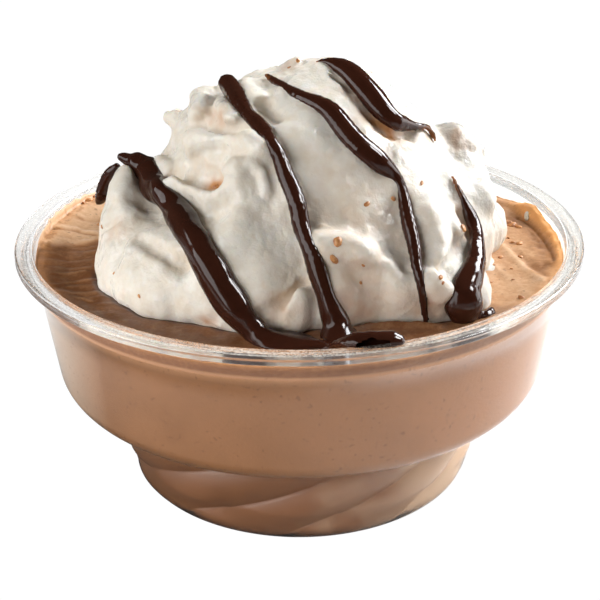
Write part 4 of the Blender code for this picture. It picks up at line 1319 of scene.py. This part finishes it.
RIDGE_ROWS = [rows for seed, route in enumerate(DRIZZLES.values())
              for rows in ridge_rows(route, seed)]
print(len(RIDGE_ROWS), "ridges with", sum(map(len, RIDGE_ROWS)), "rows")

# %% The sauce's distance
FAR_AWAY = 60.0
ROD_REACH = 6.0
POOL_SOFTNESS = 0.8


def sauce_distance(points):
    """Distance to the drizzles' surface."""
    points = points + 0.12 * np.column_stack([lumps(points, 3.5, 50 + axis) for axis in range(3)])
    distance = np.full(len(points), FAR_AWAY)
    for rows in RIDGE_ROWS:
        for first, second in zip(rows, rows[1:]):
            middle = (first[:3] + second[:3]) / 2
            near = np.all(np.abs(points - middle) < ROD_REACH, axis=1)
            rod = capsule(points[near], first[:3], second[:3], first[3], second[3])
            distance[near] = join(distance[near], rod, 0.2 + 0.3 * first[3])
    for pool in POOLS:
        distance = join(distance, ellipsoid(points, pool), POOL_SOFTNESS)
    return distance


def thinness(points):
    """1 where the nearest ridge is a thread that light shines through, 0 where it is thick."""
    rows = np.concatenate(RIDGE_ROWS)
    nearest = KDTree(len(rows))
    for index, row in enumerate(rows):
        nearest.insert(row[:3], index)
    nearest.balance()
    radii = np.array([rows[nearest.find(point)[1], 3] for point in points])
    return eased(-radii, -0.34, -0.14) * eased(points[:, 2], 4.0, 9.0)


print("the thinnest ridge is", round(float(np.concatenate(RIDGE_ROWS)[:, 3].min()), 2), "mm")

# %% [markdown]
# ## The sauce's finish
#
# The sauce is almost black and wet, so it is seen by what it reflects: a smooth dark gloss does
# most of it. Only where it thins to a thread does light come through, and it turns amber there.

# %% Sauce finish and mesh
SAUCE_DARK = (0.028, 0.0075, 0.004)
SAUCE_BROWN = (0.046, 0.013, 0.0065)
SAUCE_THREAD = (0.38, 0.13, 0.035)
SAUCE_STEP = 0.4
SAUCE_BOX = ((-38.0, -47.0, -CREME_LEVEL - 3.0), (34.0, 11.0, 34.0))


def dark_sauce():
    material, wire, shader = new_finish("dark sauce", Specular_IOR_Level=0.3, IOR=1.5)
    place = place_in(wire)
    mottle = noise_at(place, 3.0, 3.0)
    body = blend(mottle, SAUCE_DARK, SAUCE_BROWN)
    feed(blend(kept_value(wire, "thin"), body, SAUCE_THREAD), shader, "Base Color")
    feed(0.07 + 0.08 * mottle, shader, "Roughness")
    feed(bump(noise_at(place, 1.8, 1.0), 0.08, 0.15), shader, "Normal")
    return material


points, faces = surface_net(sauce_distance, SAUCE_BOX, SAUCE_STEP)
sauce = piece("sauce_drizzles", points, faces, dark_sauce(), "sauce",
              values={"thin": thinness(points)})
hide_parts("whipped_cream")
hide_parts("whipped_cream")

# %% [markdown]
# ## Crumbs
#
# Crisp orange crumbs lie on the creme, and small flecks of the same stick to the cream. A particle
# system would scatter them evenly, but here each has its place. Each one is an uneven little lump,
# pressed flat against what it lies on, and all of them are one mesh.

# %% Crumbs and flecks
# On the creme: x, y and length in millimetres.
CREME_CRUMBS = [
    (40.0, 1.7, 1.5), (38.9, 2.4, 0.9), (39.2, -4.0, 1.4), (35.7, -4.5, 1.1), (36.3, -14.3, 0.6),
    (33.9, -8.1, 0.7), (36.5, -21.7, 1.4), (36.8, -9.6, 0.6), (32.3, -15.2, 0.8), (38.4, 4.4, 0.7),
    (40.1, 10.9, 2.2), (39.0, 11.9, 1.6), (41.0, 9.8, 1.5), (38.4, 10.2, 1.3), (39.8, 12.6, 1.2),
    (-41.0, 21.4, 1.8), (-40.0, 23.4, 1.6), (-39.4, 21.9, 1.2), (-41.8, 19.8, 0.9),
    (-38.4, 24.4, 1.4),
    (-37.6, 12.0, 1.2), (-7.2, -39.6, 0.9), (-5.4, -40.0, 1.1), (3.4, -36.2, 1.2),
    (4.6, -37.0, 1.0),
]
# On the cream: x, y, z and length.
CREAM_FLECKS = [
    (5.9, -28.9, 9.0, 1.7), (5.5, -30.7, 6.7, 1.7), (9.9, -29.7, 5.4, 0.8), (9.6, -29.2, 2.3, 0.6),
    (11.1, -22.2, 13.0, 1.2), (15.1, -19.4, 12.6, 0.9), (22.1, -30.1, 3.6, 1.3),
    (26.6, -19.4, 7.4, 1.8),
    (27.2, -17.6, 6.9, 1.2), (18.7, -15.6, 12.6, 1.1), (0.1, 4.9, 28.9, 1.0),
    (2.8, -7.9, 26.4, 0.7),
    (21.4, -5.8, 18.3, 0.6), (-33.8, -8.8, 3.9, 0.8), (-30.7, -18.6, -0.4, 0.8),
    (-25.8, -25.8, -1.2, 0.8),
    (-13.5, -15.0, 13.3, 1.4), (14.0, -8.0, 21.6, 1.0), (-1.6, 4.4, 28.2, 0.8),
    (22.4, -30.6, 2.8, 0.7),
]
CRUMB_SEED = 7
FULL_TURN = 6.28
CRUMB_DARK = (0.36, 0.12, 0.035)
CRUMB_GOLD = (0.72, 0.36, 0.13)
print(len(CREME_CRUMBS), "crumbs on the creme,", len(CREAM_FLECKS), "flecks on the cream")

# %% The crumbs
def crumb_finish():
    material, wire, shader = new_finish("crumb", Roughness=0.4, IOR=1.5)
    place = place_in(wire)
    toasted = ramp(noise_at(place, 0.9, 3.0, 0.7), 0.35, 0.65)
    feed(blend(toasted, CRUMB_DARK, CRUMB_GOLD), shader, "Base Color")
    feed(bump(noise_at(place, 0.3, 2.0), 0.4, 0.1), shader, "Normal")
    return material


def small_ball():
    """Points and faces of a ball of radius 1."""
    ball = bmesh.new()
    bmesh.ops.create_icosphere(ball, subdivisions=2, radius=1.0)
    points = np.array([vertex.co[:] for vertex in ball.verts])
    faces = [[vertex.index for vertex in face.verts] for face in ball.faces]
    ball.free()
    return points, faces


def crumb_places():
    """Each crumb's place, the way up from what it lies on, and its length."""
    level = creme_top(np.array(CREME_CRUMBS)[:, :2])[0]
    rows = [((x, y, z + 0.1), (0.0, 0.0, 1.0), size)
            for (x, y, size), z in zip(CREME_CRUMBS, level)]
    on_cream = np.array(CREAM_FLECKS)
    places = on_cream[:, :3]
    for _ in range(3):
        places = places - slope_of(cream_distance, places) * cream_distance(places)[:, None]
    return rows + list(zip(places, slope_of(cream_distance, places), on_cream[:, 3]))


def build_crumbs():
    draw = np.random.default_rng(CRUMB_SEED)
    ball, ball_faces = small_ball()
    points, faces = [], []
    for place, up, size in crumb_places():
        lie = Vector(up).to_track_quat("Z", "Y").to_matrix()
        lie = lie @ Matrix.Rotation(draw.uniform(0, FULL_TURN), 3, "Z")
        shape = size / 2 * np.array([1.0, draw.uniform(0.55, 0.8), draw.uniform(0.3, 0.5)])
        uneven = 1.0 + 0.3 * lumps(ball + draw.uniform(0, 50, 3), 0.7, 70)
        lump = (ball * uneven[:, None] * shape) @ np.array(lie).T + np.array(place)
        faces += [[index + len(points) * len(ball) for index in face] for face in ball_faces]
        points.append(lump)
    return piece("crumbs", np.concatenate(points), faces, crumb_finish(), "set_creme")


crumbs = build_crumbs()

# %% [markdown]
# ## The floor
#
# The object stands on plain white. The floor glows white for the camera, and for rays that have
# passed the clear wall and land away from the foot, so the clear rim stays light. All other rays
# meet a real floor: dull on the left, so that little light comes up there, and pale on the right,
# where it also gives the wall a brighter mirror image.

# %% Floor
# These places are in metres from the middle of the foot.
FLOOR_REACH = 4.0
FLOOR_TURNS_PALE = (-0.02, 0.03)
FLOOR_CLEAR_OF_FOOT = (0.055, 0.095)
FLOOR_SHEEN = (0.03, 0.12)
FLOOR_LEFT = (0.22, 0.21, 0.2)
FLOOR_RIGHT = (0.9, 0.9, 0.9)
WHITE = (1.0, 1.0, 1.0)


def pale_floor():
    material, wire, shader = new_finish("pale floor", Roughness=0.8)
    place = place_in(wire)
    across = axis_of(place, "X")
    feed(blend(ramp(across, *FLOOR_TURNS_PALE), FLOOR_LEFT, FLOOR_RIGHT), shader, "Base Color")
    beyond = ramp(length_of(place), *FLOOR_CLEAR_OF_FOOT)
    seen = wire.node("LightPath", out="Is Camera Ray") + clear_rays(wire) * beyond
    mirrored = wire.node("LightPath", out="Is Singular Ray") * ramp(across, *FLOOR_SHEEN)
    white = mix_shaders(mirrored, glow(wire, "Emission", WHITE, 1.02),
                        glow(wire, "Emission", (1.0, 0.98, 0.95), 2.2))
    show(mix_shaders(seen.clipped(), Wire(wire.tree, shader.outputs[0]), white))
    return material


def build_floor():
    mesh = bpy.data.meshes.new("floor")
    corners = [(x * FLOOR_REACH, y * FLOOR_REACH, 0.0) for x, y in ((-1, -1), (1, -1), (1, 1), (-1, 1))]
    mesh.from_pydata(corners, [], [(0, 1, 2, 3)])
    mesh.materials.append(pale_floor())
    floor = add_object("floor", mesh)
    return floor


floor = build_floor()
print("floor", [round(side, 1) for side in floor.dimensions], "m")

# %% [markdown]
# ## The light
#
# The key lamp stands behind and to the right, and draws the streaks along the drizzles. A wide
# panel on the left and a low one on the right soften the shadows, and a dim warm world fills what
# is left. The glint lamp shows only as a reflection, on the sauce. Rays that have passed the clear
# wall see a white world, as they see a white floor.

# %% Lamps
# Name, place, size, power in watts, what it points at, and colour.
LAMPS = [
    ("key", (0.431, 0.285, 0.414), (0.28, 0.28), 6.4, (0.0, 0.0, 0.04), (0.97, 1.0, 1.04)),
    ("fill", (-0.71, -0.345, 0.36), (1.3, 0.5), 8.4, (0.0, 0.0, 0.045), WHITE),
    ("low", (0.68, 0.10, 0.165), (0.5, 0.3), 2.4, (0.0, 0.0, 0.045), WHITE),
    ("glint", (0.42, -0.03, 0.47), (0.15, 0.15), 2.5, (0.0, 0.0, 0.04), WHITE),
]


def add_panel(name, place, size, power, aim, colour):
    light = bpy.data.lights.new(name, "AREA")
    light.shape = "RECTANGLE"
    light.size, light.size_y = size
    light.energy = power
    light.color = colour
    lamp = add_object(name, light)
    lamp.location = place
    lamp.rotation_euler = (Vector(aim) - Vector(place)).to_track_quat("-Z", "Y").to_euler()
    return lamp


lamps = {row[0]: add_panel(*row) for row in LAMPS}
lamps["glint"].visible_diffuse = False
lamps["glint"].visible_transmission = False
print("lamps:", ", ".join(lamps))

# %% World
WORLD_COLOUR = (1.0, 0.82, 0.64)
WORLD_STRENGTH = 0.065
WHITE_STRENGTH = 0.95


def build_world():
    world = bpy.data.worlds.new("studio")
    world.use_nodes = True
    dim = world.node_tree.nodes["Background"]
    dim.inputs["Color"].default_value = (*WORLD_COLOUR, 1.0)
    dim.inputs["Strength"].default_value = WORLD_STRENGTH
    wire = Wire(world.node_tree)
    white = glow(wire, "Background", WHITE, WHITE_STRENGTH)
    show(mix_shaders(clear_rays(wire), Wire(wire.tree, dim.outputs[0]), white), "World Output")
    return world


bpy.context.scene.world = build_world()
bpy.context.scene.view_settings.view_transform = "Standard"
print("world", bpy.context.scene.world.name)

# %% Update the scene
bpy.context.view_layer.update()
